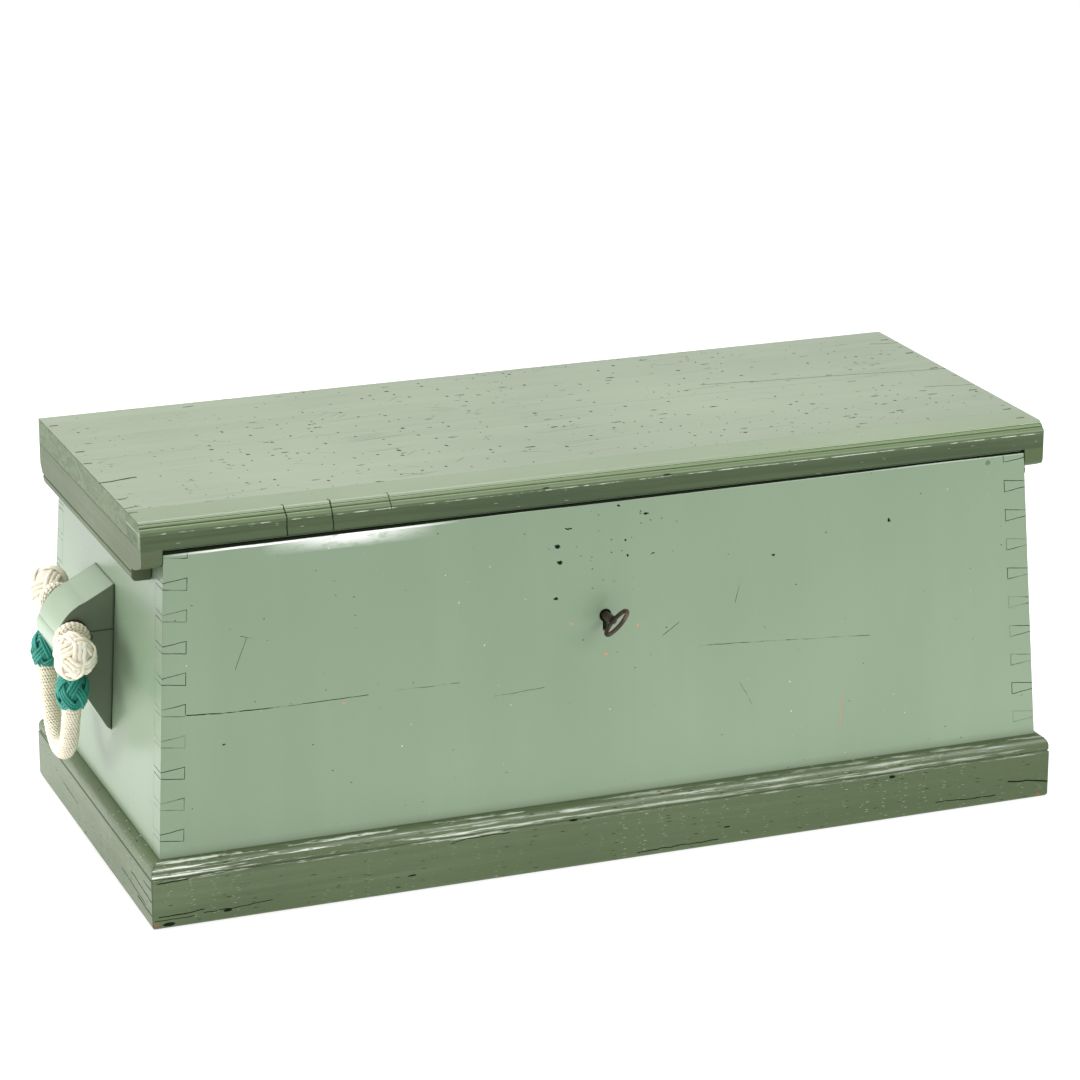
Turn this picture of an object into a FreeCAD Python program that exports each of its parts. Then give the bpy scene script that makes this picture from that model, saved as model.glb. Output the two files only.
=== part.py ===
import FreeCAD, Part
import math
import os

os.makedirs("parts", exist_ok=True)

# A painted pine sea chest: sides that lean in towards the lid, through dovetails, a moulded
# skirt, a lid with end cleats, rope beckets on wooden cleats, a box lock and an open till.
# Millimetres. X runs along the chest, the front faces -Y, the skirt stands on Z = 0.

# ---- chest body -------------------------------------------------------------------------
foot_length = 967.7        # outside of the boards, where their slope meets the floor
foot_depth = 429.9
mouth_length = 925.1       # outside of the boards at their top edge
mouth_depth = 392.1
body_top = 380.2
board = 24.0               # thickness of the four body boards
bottom_thick = 20.0
bottom_boards = 3
bottom_joint = 1.0
front_rounding = 6.0       # worn top edge of the front board

# ---- dovetails --------------------------------------------------------------------------
pin_count = 12
pin_first = 27.6           # height of the lowest pin's middle
pin_pitch = 31.65
pin_narrow = 6.4           # height of a pin at the corner
pin_wide = 12.4            # and at its root, one board's thickness in

# ---- skirt ------------------------------------------------------------------------------
skirt_height = 69.0
skirt_thick = 8.6          # at the floor, where the body is widest
skirt_inner = 42.5         # from its face to well inside the body
skirt_ovolo = 13.0         # height of the rounded top edge
skirt_ovolo_deep = 11.5
skirt_step = 0.5           # the ovolo and its fillet stand back from the face
skirt_fillet = 2.8         # the flat between the ovolo and the groove
skirt_quirk = 1.7          # depth of the groove under it
skirt_quirk_height = 2.0
skirt_toe = 5.0            # rounding of the bottom edge
skirt_nail_end = 84.0      # from the body's end to the first nail of the front row
skirt_nail_side = 65.0     # and from the front to the first nail of an end's row
skirt_nail_front_count = 5
skirt_nail_side_count = 3
bottom_nail_end = 104.0
bottom_nail_count = 4

# ---- lid --------------------------------------------------------------------------------
lid_gap = 0.8              # the lid's underside over the body
lid_thick = 27.0
lid_over = 22.45           # past the body at each end
lid_over_front = 0.95      # past the body's top edge at the front
lid_short_back = 1.05      # short of it at the back, clear of the hinges' barrels
moulding_depth = 50.0      # width of the moulded strip along the front
back_plank = 165.0         # width of the rear one of the lid's two wide boards
edge_face = 15.5           # flat part of the moulded edge
bead_one = 3.6             # width of the lower bead
bead_two = 3.0
bead_rise = 6.0
top_rounding = 5.6

# ---- lid end cleats ---------------------------------------------------------------------
cleat_drop = 41.0          # how far they hang below the lid
cleat_gap = 0.8            # clear of the end boards
cleat_nose = 12.0          # depth of the front and back tips
cleat_sweep = 37.0         # length of the curved nose
cleat_heel = 14.0          # length of the sloped heel
cleat_groove = 9.5         # height of the V groove over the bottom
cleat_groove_depth = 1.2
cleat_edge = 5.0           # rounding of the lower outer edge

# ---- nails and screws -------------------------------------------------------------------
nail_head = 9.0
nail_thick = 3.0
nail_tip = 3.0
nail_long = 42.0
skirt_nail_head = 6.0
skirt_nail_long = 30.0
screw_head = 4.2           # radius
screw_shank = 2.1
screw_long = 17.0
cleat_screw_long = 38.0

# ---- hinges -----------------------------------------------------------------------------
hinge_in = 157.55          # from the body's end, at its top, to a hinge's middle
hinge_stand = 5.45         # the pin, out from the back board's top edge
pin_radius = 2.5
pin_play = 0.05
barrel_radius = 5.0
barrel_length = 45.0
knuckle_gap = 0.3
plate = 2.5                # thickness of hinge, strap and staple plates
leaf_height = 76.0
strap_length = 95.0
strap_wide = 32.0
strap_end = 20.0
strap_screws = (16.0, 48.0, 84.0)   # in from the lid's back edge

# ---- lock and key -----------------------------------------------------------------------
key_x = -7.7
key_drop = 120.4           # the keyhole, below the body's top edge
keyhole_radius = 6.5
keyhole_slot = 6.0
keyhole_reach = 16.0
lock_wide = 110.0
lock_below = 32.0          # lock plate, below the key
lock_under_edge = 6.4      # its top, below the body's top edge
lock_step = 14.0           # the case leaves the plate's corners free
lock_plate = 3.0
lock_case = 16.0
case_wall = 2.0
bolt_thick = 2.5
bolt_back = 3.8            # from the bolt to the case's back
bolt_travel = 15.0
bolt_return = 3.0
bolt_bar_low = 12.0        # the bar's lower edge over the key
bolt_bar_high = 26.0
bolt_bar_left = 43.0
bolt_bar_right = 31.0
bolt_arm_from = 30.0
bolt_arm_to = 18.0
tongue_drop = 26.0         # the tongue's upper edge, below the lock's top
tongue_tall = 12.0
tongue_end = 1.0           # its drawn end, to the left of the key
talon_wide = 17.0
talon_deep = 4.0
talon_middle = -9.0
stud_radius = 2.4
stud_spread = 22.0
stud_height = 21.0
slot_play = 0.3
shank_radius = 4.4
shank_out = 19.0
tip_radius = 3.0
key_play = 0.05
bit_reach = 14.5
bit_thick = 3.0
bow_out = 30.0
bow_half_long = 17.5
bow_half_short = 11.0
bow_wire = 2.2
bow_end_radius = 6.0
bow_turn = 45.0            # degrees, from level
staple_x = 5.0             # staple's middle, from the key
staple_thick = 5.0
staple_wide = 7.5
staple_window = 4.0
staple_play = 1.0          # over and under the bolt's tongue
staple_bar = 4.0           # left under the window
staple_bevel = 2.6
staple_plate_long = 60.0
staple_plate_wide = 25.0
staple_plate_back = 6.0    # its middle, behind the tab's

# ---- rope beckets -----------------------------------------------------------------------
becket_y = 9.0
cleat_wide = 72.0
hole_out = 41.46           # hole's middle, out from the end board's face
hole_height = 246.5
hole_radius = 14.2
cleat_over = 51.6          # top of the cleat's outline, over the hole's middle
cleat_under = 119.9
cleat_nose_out = 20.3
rope_radius = 5.0          # the rope through the hole
rope_tilt_x = 14.0         # between the two knobs
rope_tilt_z = 21.0
knob_spread = 152.0
knob_radius = 22.0
knob_long = 24.0
eye_major = 11.2           # the eyes lie close round that rope
eye_minor = 6.0
eye_spread = 90.4
loop_radius = 9.0
head_radius = 17.5
head_long = 34.0
head_play = 0.3

# ---- till -------------------------------------------------------------------------------
till_length = 150.0        # from the left end board's inner face
till_board = 12.0
till_bottom_thick = 10.0
till_low = 230.0
till_high = 350.0
dado = 6.0                 # how deep the till's boards are let in


def vec(x, y, z):
    return FreeCAD.Vector(x, y, z)


def half_length(z):
    slope = (foot_length - mouth_length) / 2 / body_top
    return foot_length / 2 - slope * z


def half_depth(z):
    slope = (foot_depth - mouth_depth) / 2 / body_top
    return foot_depth / 2 - slope * z


def row_of(half, inset, count):
    """Evenly spaced places along a line, the first and last an inset from its ends."""
    first = half - inset
    return [-first + 2 * first * k / (count - 1) for k in range(count)]


def prism(points, along):
    """A flat outline swept along a vector."""
    return Part.Face(Part.makePolygon(points + [points[0]])).extrude(along)


def outline_prism(edges, along):
    return Part.Face(Part.Wire(edges)).extrude(along)


def line(a, b):
    return Part.LineSegment(a, b).toShape()


def arc(a, b, c):
    return Part.Arc(a, b, c).toShape()


def frustum(inset_x, inset_y, low, high):
    """The body's leaning outline, drawn in by the two insets, between two heights."""
    x0, x1 = half_length(low) - inset_x, half_length(high) - inset_x
    y0, y1 = half_depth(low) - inset_y, half_depth(high) - inset_y
    wedge = Part.makeWedge(-x0, low, -y0, -y1, -x1, x0, high, y0, y1, x1)
    wedge.rotate(vec(0, 0, 0), vec(1, 0, 0), 90)
    return wedge


def block(x0, x1, y0, y1, z0, z1):
    return Part.makeBox(x1 - x0, y1 - y0, z1 - z0, vec(x0, y0, z0))


def solids(shape):
    """Only the solids, so that every file holds whole pieces."""
    found = shape.Solids
    return found[0] if len(found) == 1 else Part.makeCompound(found)


def countersunk(head, into, length=screw_long):
    """A wood screw: its head is flush at the point given, its shank tapers to a point."""
    sink = screw_head - screw_shank
    top = Part.makeCone(screw_head, screw_shank, sink, head, into)
    shank = Part.makeCylinder(screw_shank, length - 3 * sink, head + into * sink, into)
    tip = Part.makeCone(screw_shank, 0.3, 2 * sink, head + into * (length - 2 * sink), into)
    return top.fuse([shank, tip]).removeSplitter()


def cut_nail(head, into, wide, size=nail_head, length=nail_long):
    """A wedge-shaped cut nail with a rectangular head flush at the point given."""
    thick = into.cross(wide) * nail_thick
    start = head - thick / 2
    outline = [start - wide * size / 2, start + wide * size / 2,
               start + into * length + wide * nail_tip / 2,
               start + into * length - wide * nail_tip / 2]
    return prism(outline, thick)


parts = {}
drill = {}                 # what each node is cut by, gathered and cut once at the end


def bore(nodes, cutters):
    for node in nodes:
        drill.setdefault(node, []).extend(cutters)


# ==== body boards ========================================================================
floor_top = bottom_thick
envelope = frustum(0, 0, floor_top, body_top)
front_edge = [e for e in envelope.Edges
              if all(v.Z > body_top - 1 and v.Y < 0 for v in e.Vertexes)]
envelope = envelope.makeFillet(front_rounding, front_edge).Solids[0]
between_ends = frustum(board, -50, floor_top - 1, body_top + 1)
between_sides = frustum(-50, board, floor_top - 1, body_top + 1)
inside = frustum(board, board, floor_top - 1, body_top + 1)

sides = sorted(envelope.cut(between_sides).Solids, key=lambda s: s.CenterOfMass.y)
ends = sorted(envelope.cut(between_ends).Solids, key=lambda s: s.CenterOfMass.x)

# Each pin is a wedge, narrow at the corner and wide at its root, running right through.
pins = []
for side in (-1, 1):
    for k in range(pin_count):
        z = pin_first + pin_pitch * k
        corner = half_length(z) + 5
        root = half_length(z) - board - 5
        grow = (pin_wide - pin_narrow) / 2 / board
        narrow = pin_narrow / 2 - 5 * grow
        wide = pin_wide / 2 + 5 * grow
        deep = foot_depth / 2 + 5
        low_corner, low_root = z - narrow, z - wide
        high_corner, high_root = z + narrow, z + wide
        if k == 0:                                  # half pins at the bottom and the top
            low_corner = low_root = floor_top - 1
        if k == pin_count - 1:
            high_corner = high_root = body_top + 1
        outline = [vec(side * corner, -deep, low_corner), vec(side * corner, -deep, high_corner),
                   vec(side * root, -deep, high_root), vec(side * root, -deep, low_root)]
        pins.append(prism(outline, vec(0, 2 * deep, 0)))
pins = [p.common(end) for end in ends for p in pins if p.CenterOfMass.x * end.CenterOfMass.x > 0]

parts["front_board"] = sides[0].cut(pins)
parts["back_board"] = sides[1].cut(pins)
for name, end in (("end_board_left", ends[0]), ("end_board_right", ends[1])):
    parts[name] = end.cut([parts["front_board"], parts["back_board"]])

bottom = frustum(0, 0, 0, floor_top)
gaps = []
for k in range(1, bottom_boards):
    y = -foot_depth / 2 + foot_depth * k / bottom_boards
    gaps.append(block(-foot_length, foot_length, y - bottom_joint / 2, y + bottom_joint / 2,
                      -1, floor_top + 1))
parts["bottom_boards"] = bottom.cut(gaps)

# ==== skirt ==============================================================================
def skirt_outline(place):
    """The skirt's section; place turns (in from the face, up) into a point."""
    shoulder = skirt_height - skirt_ovolo
    groove = shoulder - skirt_fillet
    toe_in = skirt_toe * 0.88
    edges = [arc(place(skirt_ovolo_deep, skirt_height),
                 place(skirt_ovolo_deep * 0.36, skirt_height - skirt_ovolo * 0.26),
                 place(skirt_step, shoulder))]
    corners = [(skirt_step, shoulder), (skirt_step, groove),
               (skirt_quirk, groove - skirt_quirk_height * 0.4), (0, groove - skirt_quirk_height),
               (0, skirt_toe)]
    for a, b in zip(corners, corners[1:]):
        edges.append(line(place(*a), place(*b)))
    edges.append(arc(place(0, skirt_toe), place(skirt_toe * 0.26, skirt_toe * 0.28),
                     place(toe_in, 0)))
    for a, b in (((toe_in, 0), (skirt_inner, 0)), ((skirt_inner, 0), (skirt_inner, skirt_height)),
                 ((skirt_inner, skirt_height), (skirt_ovolo_deep, skirt_height))):
        edges.append(line(place(*a), place(*b)))
    return edges


# It stands off the widest part of the body that it covers, whichever way the sides lean.
skirt_x = max(foot_length / 2, half_length(skirt_height)) + skirt_thick
skirt_y = max(foot_depth / 2, half_depth(skirt_height)) + skirt_thick
body_core = frustum(0, 0, -1, skirt_height + 1)
far = skirt_inner + 20
for side, name in ((-1, "skirt_front"), (1, "skirt_back")):
    start = -skirt_x - 5
    section = skirt_outline(lambda d, z: vec(start, side * (skirt_y - d), z))
    run = outline_prism(section, vec(2 * skirt_x + 10, 0, 0))
    wedge = prism([vec(-skirt_x - 9, side * (skirt_y + 9), -1),
                   vec(skirt_x + 9, side * (skirt_y + 9), -1),
                   vec(skirt_x - far, side * (skirt_y - far), -1),
                   vec(-skirt_x + far, side * (skirt_y - far), -1)], vec(0, 0, skirt_height + 2))
    parts[name] = run.common(wedge).cut(body_core)
for side, name in ((-1, "skirt_left"), (1, "skirt_right")):
    start = -skirt_y - 5
    section = skirt_outline(lambda d, z: vec(side * (skirt_x - d), start, z))
    run = outline_prism(section, vec(0, 2 * skirt_y + 10, 0))
    wedge = prism([vec(side * (skirt_x + 9), -skirt_y - 9, -1),
                   vec(side * (skirt_x + 9), skirt_y + 9, -1),
                   vec(side * (skirt_x - far), skirt_y - far, -1),
                   vec(side * (skirt_x - far), -skirt_y + far, -1)], vec(0, 0, skirt_height + 2))
    parts[name] = run.common(wedge).cut(body_core)

# Cut nails hold the skirt, and others hold the bottom boards up to the body.
skirt_nails = []
nail_row = skirt_height * 0.5
for side, name, wall in ((-1, "skirt_front", "front_board"), (1, "skirt_back", "back_board")):
    row = [cut_nail(vec(x, side * skirt_y, nail_row), vec(0, -side, 0), vec(1, 0, 0),
                    skirt_nail_head, skirt_nail_long)
           for x in row_of(foot_length / 2, skirt_nail_end, skirt_nail_front_count)]
    skirt_nails += row
    bore([name, wall], row)
for side, name, wall in ((-1, "skirt_left", "end_board_left"), (1, "skirt_right", "end_board_right")):
    row = [cut_nail(vec(side * skirt_x, y, nail_row), vec(-side, 0, 0), vec(0, 1, 0),
                    skirt_nail_head, skirt_nail_long)
           for y in row_of(foot_depth / 2, skirt_nail_side, skirt_nail_side_count)]
    skirt_nails += row
    bore([name, wall], row)
parts["skirt_nails"] = Part.makeCompound(skirt_nails)

bottom_nails = []
for side, wall in ((-1, "front_board"), (1, "back_board")):
    y = side * (half_depth(floor_top) - board / 2)
    row = [cut_nail(vec(x, y, 0), vec(0, 0, 1), vec(1, 0, 0))
           for x in row_of(foot_length / 2, bottom_nail_end, bottom_nail_count)]
    bottom_nails += row
    bore(["bottom_boards", wall], row)
parts["bottom_nails"] = Part.makeCompound(bottom_nails)

# ==== lid ================================================================================
lid_low = body_top + lid_gap
lid_top = lid_low + lid_thick
lid_end = mouth_length / 2 + lid_over
lid_front = mouth_depth / 2 + lid_over_front
lid_back = mouth_depth / 2 - lid_short_back
lid_joint = lid_back - back_plank
strip_back = -lid_front + moulding_depth


def edge_point(d, z):
    return vec(-lid_end, -lid_front + d, lid_low + z)


# The front edge: a flat face, two beads with a quirk behind each, then a rounded top.
first = bead_one
second = bead_one + 0.7 + bead_two
rise = edge_face + bead_rise
moulding = [
    line(edge_point(moulding_depth, 0), edge_point(0, 0)),
    line(edge_point(0, 0), edge_point(0, edge_face)),
    arc(edge_point(0, edge_face), edge_point(0.9, rise - 2.1), edge_point(first, rise - 0.1)),
    line(edge_point(first, rise - 0.1), edge_point(first + 0.7, rise - 1.1)),
    arc(edge_point(first + 0.7, rise - 1.1), edge_point(first + 1.4, rise + 2.1),
        edge_point(second - 0.5, rise + 3.1)),
    line(edge_point(second - 0.5, rise + 3.1), edge_point(second + 0.2, rise + 2.2)),
    arc(edge_point(second + 0.2, rise + 2.2), edge_point(second + 1.8, rise + 4.6),
        edge_point(second + top_rounding, lid_thick)),
    line(edge_point(second + top_rounding, lid_thick), edge_point(moulding_depth, lid_thick)),
    line(edge_point(moulding_depth, lid_thick), edge_point(moulding_depth, 0)),
]
parts["lid_front_moulding"] = outline_prism(moulding, vec(2 * lid_end, 0, 0))
parts["lid_board_front"] = block(-lid_end, lid_end, strip_back, lid_joint, lid_low, lid_top)
parts["lid_board_back"] = block(-lid_end, lid_end, lid_joint, lid_back, lid_low, lid_top)

# End cleats hang below the lid, outside the end boards, with a curved nose at the front.
cleat_low = lid_low - cleat_drop
clear_of_ends = frustum(-cleat_gap, -100, cleat_low - 5, lid_low + 5)
for side, name in ((-1, "lid_end_cleat_left"), (1, "lid_end_cleat_right")):
    inner = side * (half_length(body_top) - 8)

    def cleat_point(y, z):
        return vec(inner, y, z)

    nose = -lid_front
    chest = nose + cleat_sweep
    step = cleat_low + 13.5
    points = [(lid_back, lid_low), (nose, lid_low), (nose, lid_low - cleat_nose)]
    edges = [line(cleat_point(*a), cleat_point(*b)) for a, b in zip(points, points[1:])]
    edges.append(arc(cleat_point(nose, lid_low - cleat_nose),
                     cleat_point(nose + 2.1, lid_low - cleat_nose - 4.6),
                     cleat_point(nose + 7, lid_low - cleat_nose - 7)))
    edges.append(arc(cleat_point(nose + 7, lid_low - cleat_nose - 7),
                     cleat_point(nose + 21, step + 3), cleat_point(chest, step)))
    heel = [(chest, step), (chest, cleat_low), (lid_back - cleat_heel - 3, cleat_low),
            (lid_back - cleat_heel, cleat_low + 4), (lid_back, cleat_low + 20),
            (lid_back, lid_low)]
    edges += [line(cleat_point(*a), cleat_point(*b)) for a, b in zip(heel, heel[1:])]
    blank = outline_prism(edges, vec(side * lid_end - inner, 0, 0)).cut(clear_of_ends)
    outer = side * lid_end
    grooved = cleat_low + cleat_groove
    groove = prism([vec(outer + side, -lid_front - 5, grooved - cleat_groove_depth - 1),
                    vec(outer + side, -lid_front - 5, grooved + cleat_groove_depth + 1),
                    vec(outer - side * cleat_groove_depth, -lid_front - 5, grooved)],
                   vec(0, lid_front + lid_back + 10, 0))
    corner = [vec(outer + side, chest - 1, cleat_low - 1), vec(outer + side, chest - 1, cleat_low + cleat_edge),
              vec(outer, chest - 1, cleat_low + cleat_edge)]
    near = cleat_edge * (1 - math.sqrt(0.5))
    round_over = [line(corner[0], corner[1]), line(corner[1], corner[2]),
                  arc(corner[2], vec(outer - side * near, chest - 1, cleat_low + near),
                      vec(outer - side * cleat_edge, chest - 1, cleat_low)),
                  line(vec(outer - side * cleat_edge, chest - 1, cleat_low),
                       vec(outer - side * cleat_edge, chest - 1, cleat_low - 1)),
                  line(vec(outer - side * cleat_edge, chest - 1, cleat_low - 1), corner[0])]
    ease = outline_prism(round_over, vec(0, lid_front + lid_back, 0))
    parts[name] = blank.cut([groove, ease])

# Cut nails through the lid into its end cleats, as they came to be driven: each one's place
# from the lid's front edge, or from its back edge where it is negative, and its stray.
nail_in = 9.3              # from the lid's end to the nails
left_rows = {-32.6: -1.2, -134: 0, -176: -2.8, 88: -2.6, 42: -4.3}
right_rows = {-35: 1.4, -95: -1.2, -160.3: 3.7, 138: 4.8, 58.6: 5.8, 25: 9.3}
lid_nails = []
for side, rows, cleat in ((-1, left_rows, "lid_end_cleat_left"), (1, right_rows, "lid_end_cleat_right")):
    for place, shift in rows.items():
        x = side * (lid_end - nail_in) + (shift if side < 0 else -shift * 0.6)
        y = place - lid_front if place > 0 else place + lid_back
        nail = cut_nail(vec(x, y, lid_top), vec(0, 0, -1), vec(1, 0, 0))
        lid_nails.append(nail)
        top = "lid_board_back" if y > lid_joint else "lid_board_front"
        top = "lid_front_moulding" if y < strip_back else top
        bore([top, cleat], [nail])
parts["lid_nails"] = Part.makeCompound(lid_nails)

# ==== hinges =============================================================================
hinge_pins = []
leaf_screws = []
lid_screws = []
third = barrel_length / 3
hinge_back = mouth_depth / 2 + hinge_stand
for side, word in ((-1, "left"), (1, "right")):
    x = side * (mouth_length / 2 - hinge_in)
    leaf_low = body_top - leaf_height
    leaf_top = lid_low
    profile = [vec(x - barrel_length / 2, half_depth(leaf_low), leaf_low),
               vec(x - barrel_length / 2, half_depth(leaf_low) + plate, leaf_low),
               vec(x - barrel_length / 2, half_depth(leaf_top) + plate, leaf_top),
               vec(x - barrel_length / 2, half_depth(leaf_top), leaf_top)]
    leaf = prism(profile, vec(barrel_length, 0, 0))
    axle = vec(x - barrel_length / 2, hinge_back, lid_low)
    barrel = Part.makeCylinder(barrel_radius, barrel_length, axle, vec(1, 0, 0))
    hole = Part.makeCylinder(pin_radius + pin_play, barrel_length + 2,
                             axle - vec(1, 0, 0), vec(1, 0, 0))
    middle = block(x - third / 2 - knuckle_gap, x + third / 2 + knuckle_gap,
                   half_depth(body_top) - 8, hinge_back + barrel_radius + 1,
                   lid_low - barrel_radius - 0.5, lid_low + barrel_radius + 1)
    over = block(x - barrel_length, x + barrel_length, half_depth(body_top) - 9,
                 half_depth(leaf_top) + 0.2, body_top - 0.2, lid_top)
    parts["hinge_leaf_" + word] = leaf.cut(over).fuse(barrel).cut([hole, middle])

    knuckle = Part.makeCylinder(barrel_radius, third - knuckle_gap,
                                vec(x - (third - knuckle_gap) / 2, hinge_back, lid_low), vec(1, 0, 0))
    neck = (third - knuckle_gap) / 2
    strap_y = lid_back - strap_length
    outline = [line(vec(x + strap_end / 2, strap_y, lid_low), vec(x + strap_wide / 2, lid_back, lid_low)),
               line(vec(x + strap_wide / 2, lid_back, lid_low), vec(x + neck, lid_back, lid_low)),
               line(vec(x + neck, lid_back, lid_low), vec(x + neck, hinge_back, lid_low)),
               line(vec(x + neck, hinge_back, lid_low), vec(x - neck, hinge_back, lid_low)),
               line(vec(x - neck, hinge_back, lid_low), vec(x - neck, lid_back, lid_low)),
               line(vec(x - neck, lid_back, lid_low), vec(x - strap_wide / 2, lid_back, lid_low)),
               line(vec(x - strap_wide / 2, lid_back, lid_low), vec(x - strap_end / 2, strap_y, lid_low)),
               arc(vec(x - strap_end / 2, strap_y, lid_low), vec(x, strap_y - strap_end / 2, lid_low),
                   vec(x + strap_end / 2, strap_y, lid_low))]
    strap = outline_prism(outline, vec(0, 0, plate))
    bore(["lid_board_back"], [strap])
    parts["hinge_strap_" + word] = strap.fuse(knuckle).cut(hole)
    hinge_pins.append(Part.makeCylinder(pin_radius, barrel_length, axle, vec(1, 0, 0)))

    lean = (half_depth(leaf_low) - half_depth(leaf_top)) / (leaf_top - leaf_low)
    inward = vec(0, -1, -lean).normalize()
    for dx, dz in ((-13, 22), (13, 22), (0, 50)):
        z = leaf_low + leaf_height - 10 - dz
        leaf_screws.append(countersunk(vec(x + dx, half_depth(z) + plate, z), inward))
    near = leaf_screws[-3:]
    bore(["hinge_leaf_" + word, "back_board"], near)
    for dy in strap_screws:
        screw = countersunk(vec(x, lid_back - dy, lid_low), vec(0, 0, 1))
        lid_screws.append(screw)
        bore(["hinge_strap_" + word, "lid_board_back"], [screw])
parts["hinge_pins"] = Part.makeCompound(hinge_pins)
parts["hinge_leaf_screws"] = Part.makeCompound(leaf_screws)

# ==== lock, staple and key ===============================================================
# The lock is drawn about the key: X along the chest, Y straight in through the front board,
# Z up its slope. Its origin is the keyhole's middle on the board's outer face.
key_height = body_top - key_drop
lean_angle = math.degrees(math.atan(((foot_depth - mouth_depth) / 2) / body_top))
lock_above = key_drop / math.cos(math.radians(lean_angle)) - lock_under_edge
tongue_high = lock_above - tongue_drop
tongue_low = tongue_high - tongue_tall
lock_frame = FreeCAD.Placement(vec(key_x, -half_depth(key_height), key_height),
                               FreeCAD.Rotation(vec(1, 0, 0), -lean_angle))


def at_lock(shape):
    moved = shape.copy()
    moved.Placement = lock_frame.multiply(moved.Placement)
    return moved


wood = board * math.cos(math.radians(lean_angle))
case_from = wood + lock_plate
case_to = case_from + lock_case
bolt_from = case_to - case_wall - bolt_back - bolt_thick
half_lock = lock_wide / 2

keyhole = Part.makeCylinder(keyhole_radius, wood + 4, vec(0, -2, 0), vec(0, 1, 0))
keyhole = keyhole.fuse(block(-keyhole_slot / 2, keyhole_slot / 2, -2, wood + 2, -keyhole_reach, 0))
bore(["front_board"], [at_lock(keyhole)])

back_plate = block(-half_lock, half_lock, wood, case_from, -lock_below, lock_above)
plate_hole = Part.makeCylinder(shank_radius + key_play, lock_plate + 2, vec(0, wood - 1, 0), vec(0, 1, 0))
plate_hole = plate_hole.fuse(block(-keyhole_slot / 2 + 1, keyhole_slot / 2 - 1, wood - 1,
                                   case_from + 1, -keyhole_reach, 0))
lock_screws = [countersunk(vec(x, case_from, z), vec(0, -1, 0))
               for x in (-half_lock + 7, half_lock - 7) for z in (-lock_below + 7, lock_above - 7)]
parts["lock_plate"] = at_lock(back_plate.cut([plate_hole] + lock_screws))
parts["lock_screws"] = at_lock(Part.makeCompound(lock_screws))
bore(["front_board"], [at_lock(s) for s in lock_screws])

# The case leaves the plate's corners free for the screws, and its top is open for the staple.
step = lock_step
case_outline = [(-half_lock + step, -lock_below), (half_lock - step, -lock_below),
                (half_lock - step, -lock_below + step), (half_lock, -lock_below + step),
                (half_lock, lock_above - step), (half_lock - step, lock_above - step),
                (half_lock - step, lock_above), (-half_lock + step, lock_above),
                (-half_lock + step, lock_above - step), (-half_lock, lock_above - step),
                (-half_lock, -lock_below + step), (-half_lock + step, -lock_below + step)]


def case_ring(inset):
    ring = []
    for x, z in case_outline:
        middle = (lock_above - lock_below) / 2
        ring.append(vec(x - math.copysign(inset, x), 0, z - math.copysign(inset, z - middle)))
    return ring


case = prism([p + vec(0, case_from, 0) for p in case_ring(0)], vec(0, lock_case, 0))
hollow = prism([p + vec(0, case_from - 1, 0) for p in case_ring(case_wall)],
               vec(0, lock_case - case_wall + 1, 0))
mouth_half = staple_thick / 2 + 3
mouth = block(staple_x - mouth_half, staple_x + mouth_half, case_from - 1,
              case_to - case_wall, lock_above - step, lock_above + 1)
tip_hole = Part.makeCylinder(tip_radius + key_play, 10, vec(0, case_to - 5, 0), vec(0, 1, 0))
studs = [Part.makeCylinder(stud_radius, case_to - bolt_from + 0.6, vec(x, bolt_from - 1, stud_height),
                           vec(0, 1, 0)) for x in (-stud_spread, stud_spread)]
studs = [s.common(block(-lock_wide, lock_wide, 0, case_to - 0.5, -lock_wide, lock_wide))
         for s in studs]
parts["lock_case"] = at_lock(case.cut([hollow, mouth, tip_hole]).fuse(studs))

# The bolt is one plate: a bar that the key moves, an arm up from it, and the tongue.
bolt_points = [(-bolt_bar_left, bolt_bar_low), (talon_middle - talon_wide / 2, bolt_bar_low),
               (talon_middle - talon_wide / 2, bolt_bar_low + talon_deep),
               (talon_middle + talon_wide / 2, bolt_bar_low + talon_deep),
               (talon_middle + talon_wide / 2, bolt_bar_low), (bolt_bar_right, bolt_bar_low),
               (bolt_bar_right, bolt_bar_high), (-bolt_arm_to, bolt_bar_high),
               (-bolt_arm_to, tongue_low), (-tongue_end, tongue_low),
               (-tongue_end, tongue_high), (-bolt_arm_from, tongue_high),
               (-bolt_arm_from, bolt_bar_high), (-bolt_bar_left, bolt_bar_high)]
bolt = prism([vec(x, bolt_from, z) for x, z in bolt_points], vec(0, bolt_thick, 0))
slots = []
for x in (-stud_spread, stud_spread):
    reach = stud_radius + slot_play
    a = vec(x - bolt_travel, bolt_from - 1, stud_height)
    b = vec(x + bolt_return, bolt_from - 1, stud_height)
    slots += [Part.makeCylinder(reach, bolt_thick + 2, a, vec(0, 1, 0)),
              Part.makeCylinder(reach, bolt_thick + 2, b, vec(0, 1, 0)),
              block(a.x, b.x, bolt_from - 1, bolt_from + bolt_thick + 1,
                    stud_height - reach, stud_height + reach)]
parts["lock_bolt"] = at_lock(bolt.cut(slots))

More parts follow.
